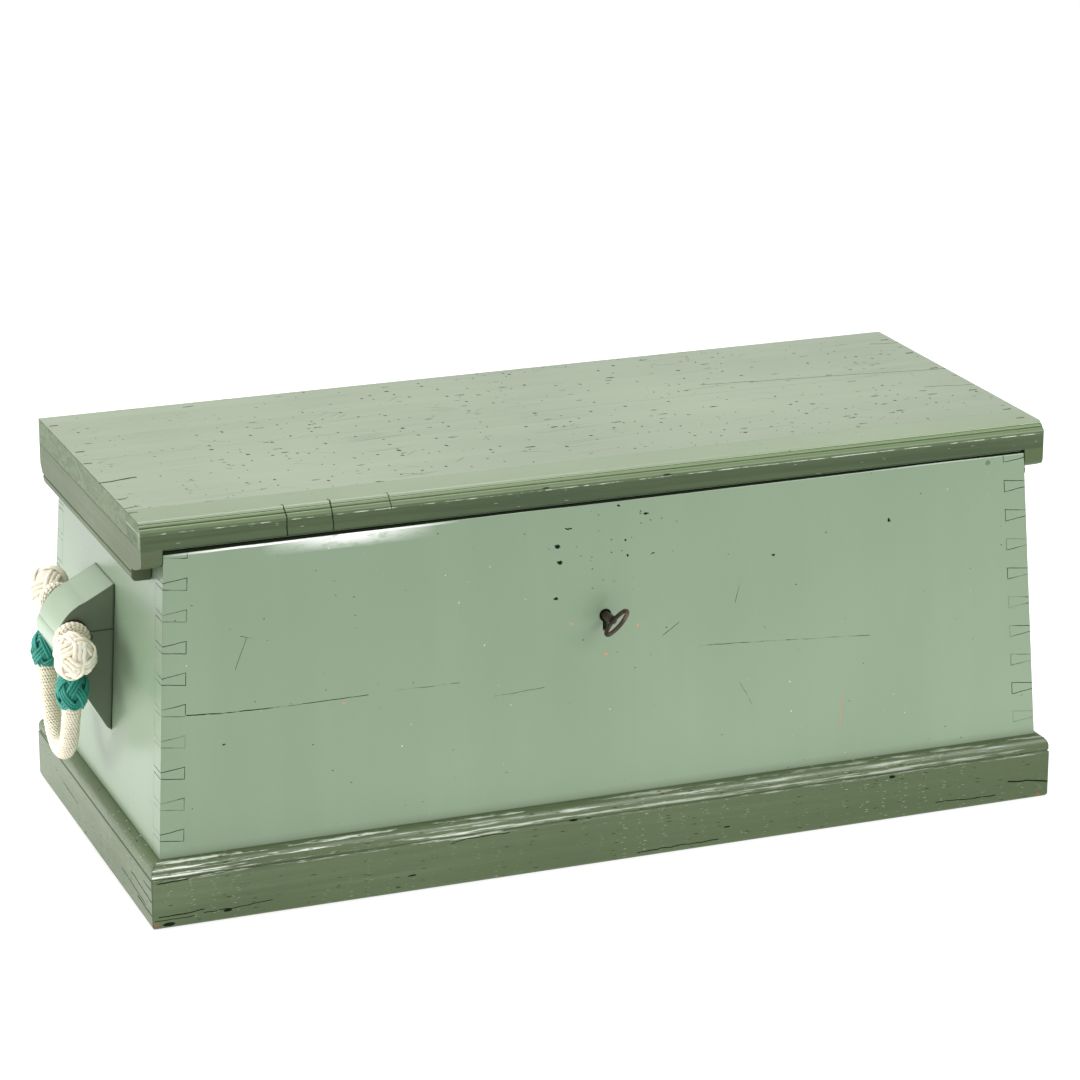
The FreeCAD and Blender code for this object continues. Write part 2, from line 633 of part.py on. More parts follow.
# Staple: a plate let into the lid with a windowed tab that drops into the lock. The tab's
# front toe is bevelled, so that it clears the lock as the lid swings.
sx = key_x + staple_x
under = lock_frame.multVec(vec(0, bolt_from + bolt_thick, tongue_low))
over = lock_frame.multVec(vec(0, bolt_from, tongue_high))
sy = (under.y + over.y) / 2
tab_low = under.z - staple_play - staple_bar
tab = block(sx - staple_thick / 2, sx + staple_thick / 2, sy - staple_wide / 2,
            sy + staple_wide / 2, tab_low, lid_low)
window = block(sx - staple_thick, sx + staple_thick, sy - staple_window / 2,
               sy + staple_window / 2, under.z - staple_play, over.z + staple_play)
toe = prism([vec(sx - staple_thick, sy - staple_wide / 2 - 1, tab_low - 1),
             vec(sx - staple_thick, sy - staple_wide / 2 + staple_bevel, tab_low - 1),
             vec(sx - staple_thick, sy - staple_wide / 2 - 1, tab_low + 3 * staple_bevel)],
            vec(2 * staple_thick, 0, 0))
plate_y = sy + staple_plate_back
staple_plate = block(sx - staple_plate_long / 2, sx + staple_plate_long / 2,
                     plate_y - staple_plate_wide / 2, plate_y + staple_plate_wide / 2,
                     lid_low, lid_low + plate)
bore(["lid_board_front", "lid_front_moulding"], [staple_plate])
staple_screws = [countersunk(vec(sx + dx, plate_y, lid_low), vec(0, 0, 1))
                 for dx in (-staple_plate_long / 2 + 9, staple_plate_long / 2 - 9)]
lid_screws += staple_screws
bore(["lid_board_front", "lid_front_moulding"], staple_screws)
parts["lock_staple"] = staple_plate.fuse(tab.cut([window, toe])).cut(staple_screws)
parts["lid_screws"] = Part.makeCompound(lid_screws)

# Key: a solid shank with a stepped tip, a bit, and an oval bow bent from round wire.
tip_end = case_to + 2
tip = Part.makeCylinder(tip_radius, tip_end - 10, vec(0, 10, 0), vec(0, 1, 0))
shank = Part.makeCylinder(shank_radius, shank_out + bow_wire / 2 + case_to - case_wall - 1.5,
                          vec(0, -shank_out - bow_wire / 2, 0), vec(0, 1, 0))
bit_from = bolt_from - 4
bit_to = bolt_from + bolt_thick + 1.2
bit = block(0, bit_reach, bit_from, bit_to, -bit_thick / 2, bit_thick / 2)
ward = block(bit_reach - 3.5, bit_reach + 1, bit_from + 1.2, bit_from + 2.8, -bit_thick, bit_thick)
bit = bit.cut(ward)
bit.rotate(vec(0, 0, 0), vec(0, 1, 0), -225)
a = bow_half_long - bow_wire
b = bow_half_short - bow_wire
r = bow_end_radius
big = ((a - r) ** 2 + b * b - r * r) / (2 * (b - r))
reach = math.hypot(a - r, big - b)
tx = a - r + r * (a - r) / reach
tz = r * (big - b) / reach
bow_path = Part.Wire([
    arc(vec(-tx, tz - bow_out, 0), vec(0, b - bow_out, 0), vec(tx, tz - bow_out, 0)),
    arc(vec(tx, tz - bow_out, 0), vec(a, -bow_out, 0), vec(tx, -tz - bow_out, 0)),
    arc(vec(tx, -tz - bow_out, 0), vec(0, -b - bow_out, 0), vec(-tx, -tz - bow_out, 0)),
    arc(vec(-tx, -tz - bow_out, 0), vec(-a, -bow_out, 0), vec(-tx, tz - bow_out, 0))])
ring = Part.Wire([Part.Circle(vec(-tx, tz - bow_out, 0),
                              bow_path.Edges[0].tangentAt(bow_path.Edges[0].FirstParameter),
                              bow_wire).toShape()])
bow = bow_path.makePipeShell([ring], True, False)
bow.rotate(vec(0, 0, 0), vec(0, 1, 0), -bow_turn)
parts["key"] = at_lock(shank.fuse([tip, bit, bow]))

# ==== becket cleats ======================================================================
# Drawn at the left end, then turned half round for the right. Outward is -X there, and the
# outline is measured from the hole's middle, as (out, up).
body_ends = frustum(0, -100, hole_height - cleat_under - 30, hole_height + cleat_over + 30)
cleat_from = becket_y - cleat_wide / 2
cleat_to = becket_y + cleat_wide / 2
hole_x = half_length(hole_height) + hole_out


def cleat_at(out, up):
    return vec(-hole_x - out, cleat_from, hole_height + up)


sink = hole_out + 10       # the outline's root, inside the end board
nose_points = [(-sink, cleat_over), (-13.5, 31.5), (7, 18), (17.5, -0.5), (cleat_nose_out, -9.5),
               (18, -18.5), (-31, -104), (-sink, -cleat_under)]
cleat_edges = [line(cleat_at(*nose_points[0]), cleat_at(*nose_points[1])),
               arc(cleat_at(*nose_points[1]), cleat_at(*nose_points[2]), cleat_at(*nose_points[3])),
               arc(cleat_at(*nose_points[3]), cleat_at(*nose_points[4]), cleat_at(*nose_points[5])),
               line(cleat_at(*nose_points[5]), cleat_at(*nose_points[6])),
               line(cleat_at(*nose_points[6]), cleat_at(*nose_points[7])),
               line(cleat_at(*nose_points[7]), cleat_at(*nose_points[0]))]
cleat = outline_prism(cleat_edges, vec(0, cleat_wide, 0)).cut(body_ends)
hole_middle = vec(-hole_x, becket_y, hole_height)
rope_hole = Part.makeCylinder(hole_radius, cleat_wide + 10,
                              hole_middle - vec(0, cleat_wide / 2 + 5, 0), vec(0, 1, 0))
cleat = cleat.cut(rope_hole)
upper_half = block(-hole_x - 2 * hole_out, -hole_x + 2 * hole_out, cleat_from - 5, cleat_to + 5,
                   hole_height, hole_height + cleat_over + 30)
left = {"becket_cleat_upper": cleat.common(upper_half), "becket_cleat_lower": cleat.cut(upper_half)}

cleat_screws = []
screw_side = cleat_wide / 2 - 14
for dy, up in ((-screw_side, 28.5), (screw_side, 28.5), (-screw_side, -66.5),
               (screw_side, -66.5), (0, -86.5)):
    z = hole_height + up
    head = vec(-half_length(z) + board, becket_y + dy, z)
    cleat_screws.append(countersunk(head, vec(-1, 0, 0), cleat_screw_long))
left["becket_cleat_screws"] = Part.makeCompound(cleat_screws)

# ==== rope beckets =======================================================================
# A short rope lies through the hole, with a knob worked on each end. The becket itself is a
# loop with an eye spliced round that rope at each side, and a knotted head on each leg.
half = knob_spread / 2
tilt = vec(rope_tilt_x / 2, half, rope_tilt_z / 2)
front_knob = hole_middle - tilt
back_knob = hole_middle + tilt
along = (back_knob - front_knob).normalize()
through = Part.makeCylinder(rope_radius, front_knob.distanceToPoint(back_knob), front_knob, along)
left["becket_rope"] = through


def egg(middle):
    """A knob: the outline of an egg turned about the upright line through its middle."""
    flank = knob_radius * 0.74
    shoulder = knob_long * 0.70
    edges = [arc(vec(0, 0, -knob_long), vec(flank, 0, -shoulder), vec(knob_radius, 0, 0)),
             arc(vec(knob_radius, 0, 0), vec(flank, 0, shoulder), vec(0, 0, knob_long)),
             line(vec(0, 0, knob_long), vec(0, 0, -knob_long))]
    turned = Part.Face(Part.Wire(edges)).revolve(vec(0, 0, 0), vec(0, 0, 1), 360)
    turned.translate(middle)
    return turned


knobs = [egg(front_knob).cut(through), egg(back_knob).cut(through)]
left["becket_knobs"] = Part.makeCompound(knobs)

eyes = []
for side in (-1, 1):
    middle = hole_middle + along * (side * eye_spread / 2 / along.y)
    eyes.append(Part.makeTorus(eye_major, eye_minor, middle, vec(0, 1, 0)))
left["becket_eyes"] = Part.makeCompound(eyes)

# The loop's route from the hole's middle, as (out, across, up): from the front eye down, under
# and up to the back eye.
loop_route = [(4.2, -45.2, -17.5), (7, -50.5, -40), (8.5, -55, -66), (8.8, -46, -88),
              (8.7, -37, -112.3), (8.5, -15.3, -134), (8.5, 15.3, -134), (8.5, 37, -108),
              (8.5, 46, -74), (7.3, 55, -50), (2.5, 50.5, -28), (-4.1, 45.2, -5.1)]
route = [hole_middle + vec(-out, across, up) for out, across, up in loop_route]
head_route = [(10, -55, -53.1), (7.5, 56.5, -43.5)]      # and the two heads' middles
head_middles = [hole_middle + vec(-out, across, up) for out, across, up in head_route]


def rounded_path(points):
    """Straight runs joined by tangent arcs, as large as the runs allow."""
    edges = []
    radii = []
    start = points[0]
    for before, corner, after in zip(points, points[1:], points[2:]):
        back = (before - corner).normalize()
        ahead = (after - corner).normalize()
        turn = math.pi - back.getAngle(ahead)
        short = min((before - corner).Length, (after - corner).Length)
        trim = 0.45 * short
        radius = trim / math.tan(turn / 2)
        bisector = (back + ahead).normalize()
        to_arc = radius / math.cos(turn / 2) - radius
        enter = corner + back * trim
        leave = corner + ahead * trim
        edges.append(line(start, enter))
        edges.append(arc(enter, corner + bisector * to_arc, leave))
        start = leave
        radii.append(radius)
    edges.append(line(start, points[-1]))
    return Part.Wire(edges), radii


path, radii = rounded_path(route)
print("becket loop: length %.1f mm, arc radii" % path.Length, ["%.0f" % r for r in radii])


def tube(wire, radius):
    first = wire.Edges[0]
    tangent = first.tangentAt(first.FirstParameter)
    ring = Part.Wire([Part.Circle(first.valueAt(first.FirstParameter), tangent, radius).toShape()])
    return wire.makePipeShell([ring], True, False)


loop = tube(path, loop_radius)
print("loop volume over section times length: %.4f"
      % (loop.Volume / (math.pi * loop_radius ** 2 * path.Length)))
clear_loop = tube(path, loop_radius + head_play)
left["becket_loop"] = loop.cut(eyes)


def turks_head(middle, way):
    """A knotted collar: a barrel, fullest at its middle, with rounded ends."""
    lip = head_radius * 0.80
    half = head_long / 2
    edges = [line(vec(0, 0, -half), vec(lip * 0.86, 0, -half)),
             arc(vec(lip * 0.86, 0, -half), vec(head_radius * 0.93, 0, -half * 0.72),
                 vec(head_radius, 0, 0)),
             arc(vec(head_radius, 0, 0), vec(head_radius * 0.93, 0, half * 0.72),
                 vec(lip * 0.86, 0, half)),
             line(vec(lip * 0.86, 0, half), vec(0, 0, half)),
             line(vec(0, 0, half), vec(0, 0, -half))]
    turned = Part.Face(Part.Wire(edges)).revolve(vec(0, 0, 0), vec(0, 0, 1), 360)
    turned.Placement = FreeCAD.Placement(middle, FreeCAD.Rotation(vec(0, 0, 1), way))
    return turned


front_head = turks_head(head_middles[0], route[2] - route[1])
back_head = turks_head(head_middles[1], route[9] - route[8])
left["becket_heads"] = Part.makeCompound([front_head.cut(clear_loop), back_head.cut(clear_loop)])

bore(["end_board_left"], cleat_screws)
for name, shape in list(left.items()):
    if name == "becket_cleat_screws":
        continue
    for screw in cleat_screws if "cleat" in name else []:
        shape = shape.cut(screw)
    left[name] = shape


def to_right(shape):
    """Half a turn about the middle, kept on the same line across the chest."""
    turned = shape.copy()
    turned.rotate(vec(0, becket_y, 0), vec(0, 0, 1), 180)
    return turned


bore(["end_board_right"], [to_right(s) for s in cleat_screws])
for name, shape in left.items():
    if name == "becket_cleat_screws":
        parts[name] = Part.makeCompound(cleat_screws + [to_right(s) for s in cleat_screws])
        continue
    parts[name + "_left"] = shape
    parts[name + "_right"] = to_right(shape)

# ==== till ===============================================================================
till_inner = -half_length(till_low) + board + till_length
let_in = frustum(board - dado, board - dado, till_low - 5, till_high + 5)
front_of_till = block(till_inner, till_inner + till_board, -foot_depth, foot_depth, till_low, till_high)
parts["till_front"] = front_of_till.common(let_in)
till_floor = block(-foot_length, till_inner, -foot_depth, foot_depth, till_low, till_low + till_bottom_thick)
parts["till_bottom"] = till_floor.common(let_in)
bore(["front_board", "back_board"], [parts["till_front"]])
bore(["front_board", "back_board", "end_board_left"], [parts["till_bottom"]])

# ==== holes and files ====================================================================
for node, cutters in drill.items():
    parts[node] = parts[node].cut(cutters)
for node, shape in parts.items():
    solids(shape).exportStep("parts/" + node + ".step")
    print("%-26s %2d solids %12.1f mm3" % (node, len(shape.Solids), shape.Volume))
print(len(parts), "nodes")
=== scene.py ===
import bpy
import math
from mathutils import Matrix, Vector


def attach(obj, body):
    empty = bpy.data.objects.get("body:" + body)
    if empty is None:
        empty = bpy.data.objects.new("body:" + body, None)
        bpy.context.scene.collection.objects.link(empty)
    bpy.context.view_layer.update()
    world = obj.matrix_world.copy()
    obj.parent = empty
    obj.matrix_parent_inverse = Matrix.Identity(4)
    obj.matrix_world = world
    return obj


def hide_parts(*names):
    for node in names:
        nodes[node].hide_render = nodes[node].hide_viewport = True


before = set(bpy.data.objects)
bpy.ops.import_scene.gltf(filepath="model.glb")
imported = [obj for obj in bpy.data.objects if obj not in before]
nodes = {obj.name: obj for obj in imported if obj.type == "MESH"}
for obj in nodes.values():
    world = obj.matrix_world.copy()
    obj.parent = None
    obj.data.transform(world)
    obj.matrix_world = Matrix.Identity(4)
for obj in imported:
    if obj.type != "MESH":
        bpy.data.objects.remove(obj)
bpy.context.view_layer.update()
print("chest frame loaded:", len(nodes), "nodes")

# camera and light, settled first
studio = {
    "cameraPlace": (-1.4013, -3.6206, 1.5397),
    "turn": 21.157,  # degrees to the right of straight at the front
    "tip": 18.018,  # degrees below level
    "lens": 129.54,
    "floorSize": 40.0,
    "floorTone": 0.6,
    "floorGlow": 0.62,
    "skyLight": 0.5,
    "lamps": {  # place, size and power of each soft box
        "window": ((2.3, -3.9, 2.7), (2.8, 2.2), 172.0),
        "side": ((-3.0, 0.9, 0.8), (2.4, 1.4), 70.0),
        "above": ((-0.2, 0.9, 3.0), (2.8, 1.4), 72.0),
    },
}


def deselect():
    for thing in bpy.context.selected_objects:
        thing.select_set(False)


def aimAt(thing, target):
    thing.rotation_euler = (Vector(target) - thing.location).to_track_quat("-Z", "Y").to_euler()


def addStudio(look):
    deselect()
    aim = (math.radians(90 - look["tip"]), 0, -math.radians(look["turn"]))
    bpy.ops.object.camera_add(location=look["cameraPlace"], rotation=aim)
    camera = bpy.context.object
    camera.data.lens = look["lens"]
    camera.data.clip_end = 100
    bpy.context.scene.camera = camera
    for name, (place, size, power) in look["lamps"].items():
        bpy.ops.object.light_add(type="AREA", location=place)
        lamp = bpy.context.object
        lamp.name = name + "Lamp"
        lamp.data.shape = "RECTANGLE"
        lamp.data.size, lamp.data.size_y = size
        lamp.data.energy = power
        aimAt(lamp, (0, 0, 0.2))
    deselect()
    bpy.ops.mesh.primitive_plane_add(size=look["floorSize"], location=(0, 0, 0))
    floor = bpy.context.object
    floor.name = "studioFloor"
    floorPaint = bpy.data.materials.new("studioFloorPaint")
    floorPaint.use_nodes = True
    shader = floorPaint.node_tree.nodes["Principled BSDF"]
    shader.inputs["Base Color"].default_value = (*[look["floorTone"]] * 3, 1)
    shader.inputs["Roughness"].default_value = 0.9
    shader.inputs["Specular IOR Level"].default_value = 0.1
    shader.inputs["Emission Color"].default_value = (1, 1, 1, 1)
    shader.inputs["Emission Strength"].default_value = look["floorGlow"]
    floor.data.materials.append(floorPaint)
    world = bpy.data.worlds.new("studioWorld")
    world.use_nodes = True
    sky = world.node_tree.nodes["Background"]
    sky.inputs[0].default_value = (1, 1, 1, 1)
    sky.inputs[1].default_value = look["skyLight"]
    bpy.context.scene.world = world
    bpy.context.scene.view_settings.view_transform = "Standard"


addStudio(studio)
print("studio ready")


# shader maths: a wire wraps one socket, and sums on wires add the nodes
class Wire:
    def __init__(self, tree, socket):
        self.tree = tree
        self.socket = socket

    def add(self, kind, settings=None, inputs=None, out=0):
        # a node of a kind, its settings first, then the values or links of its sockets
        node = self.tree.nodes.new(kind)
        for key, value in (settings or {}).items():
            setattr(node, key, value)
        for key, value in (inputs or {}).items():
            if isinstance(value, Wire):
                self.tree.links.new(value.socket, node.inputs[key])
            else:
                node.inputs[key].default_value = value
        return Wire(self.tree, node.outputs[out])

    def sums(self, operation, *values):
        return self.add("ShaderNodeMath", {"operation": operation}, dict(enumerate(values)))

    def __add__(self, other):
        return self.sums("ADD", self, other)

    def __radd__(self, other):
        return self.sums("ADD", other, self)

    def __sub__(self, other):
        return self.sums("SUBTRACT", self, other)

    def __rsub__(self, other):
        return self.sums("SUBTRACT", other, self)

    def __mul__(self, other):
        return self.sums("MULTIPLY", self, other)

    def __rmul__(self, other):
        return self.sums("MULTIPLY", other, self)

    def __truediv__(self, other):
        return self.sums("DIVIDE", self, other)

    def __abs__(self):
        return self.sums("ABSOLUTE", self)

    def __gt__(self, other):
        return self.sums("GREATER_THAN", self, other)

    def __lt__(self, other):
        return self.sums("LESS_THAN", self, other)

    def root(self):
        return self.sums("SQRT", self)

    def least(self, other):
        return self.sums("MINIMUM", self, other)

    def most(self, other):
        return self.sums("MAXIMUM", self, other)

    def span(self, low, high):
        # 0 at low, 1 at high, straight between, held outside
        return self.add("ShaderNodeMapRange", {"clamp": True},
                        {0: self, 1: low, 2: high, 3: 0.0, 4: 1.0})

    def part(self, axis):
        return self.add("ShaderNodeSeparateXYZ", None, {0: self}, "XYZ".index(axis))

    def stretched(self, scale):
        return self.add("ShaderNodeVectorMath", {"operation": "MULTIPLY"}, {0: self, 1: scale})

    def noise(self, scale, detail=3.0, rough=0.55, twist=0.0):
        return self.add("ShaderNodeTexNoise", None,
                        {"Vector": self, "Scale": scale, "Detail": detail,
                         "Roughness": rough, "Distortion": twist})

    def scattered(self, other, scale, stretch, wide, share):
        # spots on the plane of this wire and the other: their shape, and a share of them
        place = self.add("ShaderNodeCombineXYZ", None, {0: self, 1: other * stretch})
        settings = {"voronoi_dimensions": "2D"}
        inputs = {"Vector": place, "Scale": scale}
        away = self.add("ShaderNodeTexVoronoi", settings, inputs, 0)
        chance = self.add("ShaderNodeTexVoronoi", settings, inputs, 1).part("X")
        size = chance.span(0.0, share) * (wide * 0.6) + wide * 0.4
        return (1 - (away / size).span(0.55, 1.0)) * (chance < share)

    def tint(self, under, over):
        # this wire is the share of the over colour
        return self.add("ShaderNodeMix", {"data_type": "RGBA"}, {0: self, 6: under, 7: over}, 2)


def tone(red, green, blue):
    # a colour as painters read it off a card, 0 to 255, made linear
    made = [(c / 255 / 12.92) if c <= 10 else ((c / 255 + 0.055) / 1.055) ** 2.4
            for c in (red, green, blue)]
    return (*made, 1)


def newFinish(name):
    finish = bpy.data.materials.new(name)
    finish.use_nodes = True
    tree = finish.node_tree
    shader = tree.nodes["Principled BSDF"]
    coord = tree.nodes.new("ShaderNodeTexCoord")
    return finish, shader, Wire(tree, coord.outputs["Object"])


def connect(shader, values):
    for key, value in values.items():
        if isinstance(value, Wire):
            value.tree.links.new(value.socket, shader.inputs[key])
        else:
            shader.inputs[key].default_value = value


def bump(height, strength, distance=0.001, edge=0.0):
    # edge is the radius to which sharp arrises are softened
    inputs = {"Strength": strength, "Distance": distance, "Height": height}
    if edge:
        inputs["Normal"] = height.add("ShaderNodeBevel", {"samples": 4}, {"Radius": edge})
    return height.add("ShaderNodeBump", None, inputs)


def paintOnto(finish, *names):
    for name in names:
        slots = nodes[name].data.materials
        if len(slots) == 0:
            slots.append(finish)
        for i in range(len(slots)):
            slots[i] = finish


def stroke(u, v, start, end, width):
    # a thin mark from start to end on the plane that u and v measure
    du, dv = end[0] - start[0], end[1] - start[1]
    square = du * du + dv * dv
    along = ((u - start[0]) * (du / square) + (v - start[1]) * (dv / square)).span(0.0, 1.0)
    offU = u - start[0] - along * du
    offV = v - start[1] - along * dv
    return 1 - (offU * offU + offV * offV).root().span(width * 0.5, width)


def spot(u, v, middle, wide, high):
    du = (u - middle[0]) / wide
    dv = (v - middle[1]) / high
    return 1 - (du * du + dv * dv).root().span(0.75, 1.0)


def lineAt(wire, at, full, gone):
    # a line where the wire reads at: full within one distance of it, gone past the other
    return 1 - abs(wire - at).span(full, gone)


def union(masks):
    whole = masks[0] if masks else 0.0
    for mask in masks[1:]:
        whole = whole.most(mask)
    return whole


def layered(colour, coats):
    # coats of paint over a colour, each under its own mask
    for mask, shade in coats:
        colour = mask.tint(colour, tone(*shade))
    return colour


# the body's slopes, faces and dovetails, in metres
bodyShape = {
    "footLength": 0.9677, "footDepth": 0.4299, "mouthLength": 0.9251, "mouthDepth": 0.3921,
    "top": 0.3802, "board": 0.024, "skin": 0.002, "innerFace": 0.0225,
    "pinFirst": 0.0276, "pinPitch": 0.03165, "pinNarrow": 0.0032, "pinWide": 0.0062,
    "pinLine": (0.00015, 0.0005), "pinFace": 0.0015,
}


def halfAt(z, side):
    # half the body's Length or Depth at a height
    foot, mouth = bodyShape["foot" + side], bodyShape["mouth" + side]
    return foot / 2 - z * ((foot - mouth) / 2 / bodyShape["top"])


# sage green gloss paint, brushed on over old boards
sage = {
    "base": (125, 145, 119), "pale": (135, 155, 128), "deep": (116, 136, 110),
    # of the next line, the first two tones are painted shade: the boards darker towards the top,
    # and the ends darker high up, a painted shadow under the lid
    "upper": (108, 128, 103), "paintedShadowUnderLid": (92, 106, 90), "foot": (88, 104, 78),
    # the gap tone on the next line is a painted shadow under the lid
    "line": (26, 34, 22), "gap": (24, 30, 20), "nick": (44, 52, 34),
    # the last two tones on the next line are for painted glints and a painted highlight
    "undercoat": (178, 128, 92), "gleam": (236, 242, 234), "paintedHighlight": (252, 254, 250),
    "rough": 0.33, "coat": 0.14, "coatRough": 0.14, "edge": 0.0012,
}


def paintCommon(coord, look, grain, brushShare=0.25):
    # grain: how many times finer the pattern is across each axis
    cloud = coord.noise(3.2, 2.0)
    brush = coord.stretched(grain).noise(1.0, 4.0, 0.6)
    fine = coord.noise(300.0, 2.0)
    colour = cloud.span(0.3, 0.72).tint(tone(*look["deep"]), tone(*look["base"]))
    colour = (brush.span(0.45, 0.75) * brushShare).tint(colour, tone(*look["pale"]))
    return cloud, brush, fine, colour


def jointLines(coord):
    # the dovetails' outlines on the front, the back and both ends
    look = bodyShape
    x, y, z = abs(coord.part("X")), abs(coord.part("Y")), coord.part("Z")
    waver = (coord.noise(90.0, 2.0) - 0.5) * 0.0016
    step = (z - look["pinFirst"] + waver) / look["pinPitch"]
    offset = abs(step - step.sums("ROUND", step)) * look["pinPitch"]
    inX, inY = halfAt(z, "Length") - x, halfAt(z, "Depth") - y
    narrow, board, thin = look["pinNarrow"], look["board"], look["pinLine"]
    half = inX * ((look["pinWide"] - narrow) / board) + narrow
    slant = lineAt(offset, half, *thin) * (inX < board + 0.0003)
    root = lineAt(inX, board, *thin) * (offset < look["pinWide"])
    level = lineAt(offset, narrow, *thin) * (inY < board)
    seam = lineAt(inY, board, *thin) * (offset > narrow)
    onFace, onEnd = inY < look["pinFace"], inX < look["pinFace"]
    faded = coord.noise(30.0, 3.0).span(0.42, 0.56)
    return (slant.most(root) * onFace).most(level.most(seam * 0.4) * onEnd) * (faded * 0.85 + 0.15)


# bare pine inside and underneath
pine = {"base": (198, 162, 114), "late": (158, 116, 74), "stain": (120, 94, 66), "rough": 0.62}


def pineColour(coord, look):
    rings = coord.stretched((1.2, 12.0, 12.0)).noise(2.4, 3.0, 0.5, 0.8)
    lines = abs((rings * 14.0).sums("FRACT", rings * 14.0) - 0.5).span(0.12, 0.5)
    fibre = coord.stretched((12.0, 260.0, 260.0)).noise(1.0, 3.0)
    colour = lines.tint(tone(*look["late"]), tone(*look["base"]))
    colour = layered(colour, [(fibre.span(0.55, 0.8) * 0.35, look["late"]),
                              (coord.noise(4.0, 3.0).span(0.5, 0.75) * 0.5, look["stain"])])
    return colour, lines, fibre


def turned(coord):
    # the same place with x and y changed round, for boards that run from front to back
    return coord.add("ShaderNodeCombineXYZ", None,
                     {0: coord.part("Y"), 1: coord.part("X"), 2: coord.part("Z")})


def makePine(name, look, across):
    finish, shader, coord = newFinish(name)
    colour, lines, fibre = pineColour(turned(coord) if across else coord, look)
    connect(shader, {"Base Color": colour, "Roughness": fibre * 0.2 + look["rough"] - 0.1,
                     "Normal": bump(fibre * 0.6 + lines * 0.4, 0.35, 0.0008)})
    return finish


# where each becket cleat stands against its end board, and the dark line painted along its edges as
# shade in the crevice
becketCreviceShade = {"middle": 0.009, "half": 0.0366, "low": 0.1395, "high": 0.292, "width": 0.0013}

# the body's marks, in metres: a crack has its start, end and width, and a hole or a bare
# spot its middle, half width and half height
bodyMarks = {
    "cracks": [((-0.4465, 0.2125), (-0.413, 0.2098), 0.0008),
               ((-0.413, 0.2098), (-0.34, 0.2086), 0.0007),
               ((-0.34, 0.2086), (-0.261, 0.2089), 0.0005),
               ((-0.235, 0.21), (-0.165, 0.209), 0.0003),
               ((0.095, 0.215), (0.287, 0.202), 0.0004),
               ((-0.128, 0.19), (-0.075, 0.1925), 0.0003),
               ((0.055, 0.231), (0.072, 0.242), 0.0004),
               ((0.135, 0.256), (0.141, 0.28), 0.0003),
               ((0.14, 0.17), (0.153, 0.145), 0.0003),
               ((-0.383, 0.283), (-0.396, 0.252), 0.0003),
               ((-0.39, 0.285), (-0.376, 0.282), 0.0003)],
    "holes": [((0.0374, 0.3604), 0.0036, 0.0014), ((-0.058, 0.337), 0.0032, 0.0024),
              ((-0.056, 0.32), 0.0034, 0.002), ((-0.046, 0.354), 0.0044, 0.001),
              ((0.015, 0.335), 0.0014, 0.0014), ((0.017, 0.319), 0.0014, 0.0014),
              ((0.008, 0.372), 0.0014, 0.0011), ((-0.061, 0.283), 0.0026, 0.0018),
              ((0.308, 0.3227), 0.0016, 0.0026), ((-0.365, 0.3), 0.0011, 0.0011),
              ((0.044, 0.318), 0.003, 0.0008), ((0.178, 0.301), 0.002, 0.0012),
              ((-0.41, 0.178), 0.0022, 0.001)],
    "filledHole": ((0.421, 0.371), 0.0034, 0.0034),
    "bare": [((-0.0444, 0.255), 0.0022, 0.0016), ((0.0275, 0.245), 0.0022, 0.0015),
             ((-0.0077, 0.2189), 0.0034, 0.0012), ((-0.287, 0.204), 0.0015, 0.0012)],
    "scratch": ((0.2555, 0.143), (0.253, 0.108), 0.0006),
    "nearLock": ((0.0, 0.33), 0.08, 0.06),
    "rim": 0.3796, "frontRim": 0.3801,  # the outer faces' paint ends below these
    "lidSlope": 0.002,  # rise of the lid's shadow for each metre
    # the first height on the next line is where the painted shadow under the lid begins; the other
    # two place a painted highlight
    "gapShadowFrom": 0.3763, "highlightLine": 0.3751, "highlightPoolHeights": (0.361, 0.3745),
    "nearFoot": (0.069, 0.078),
}


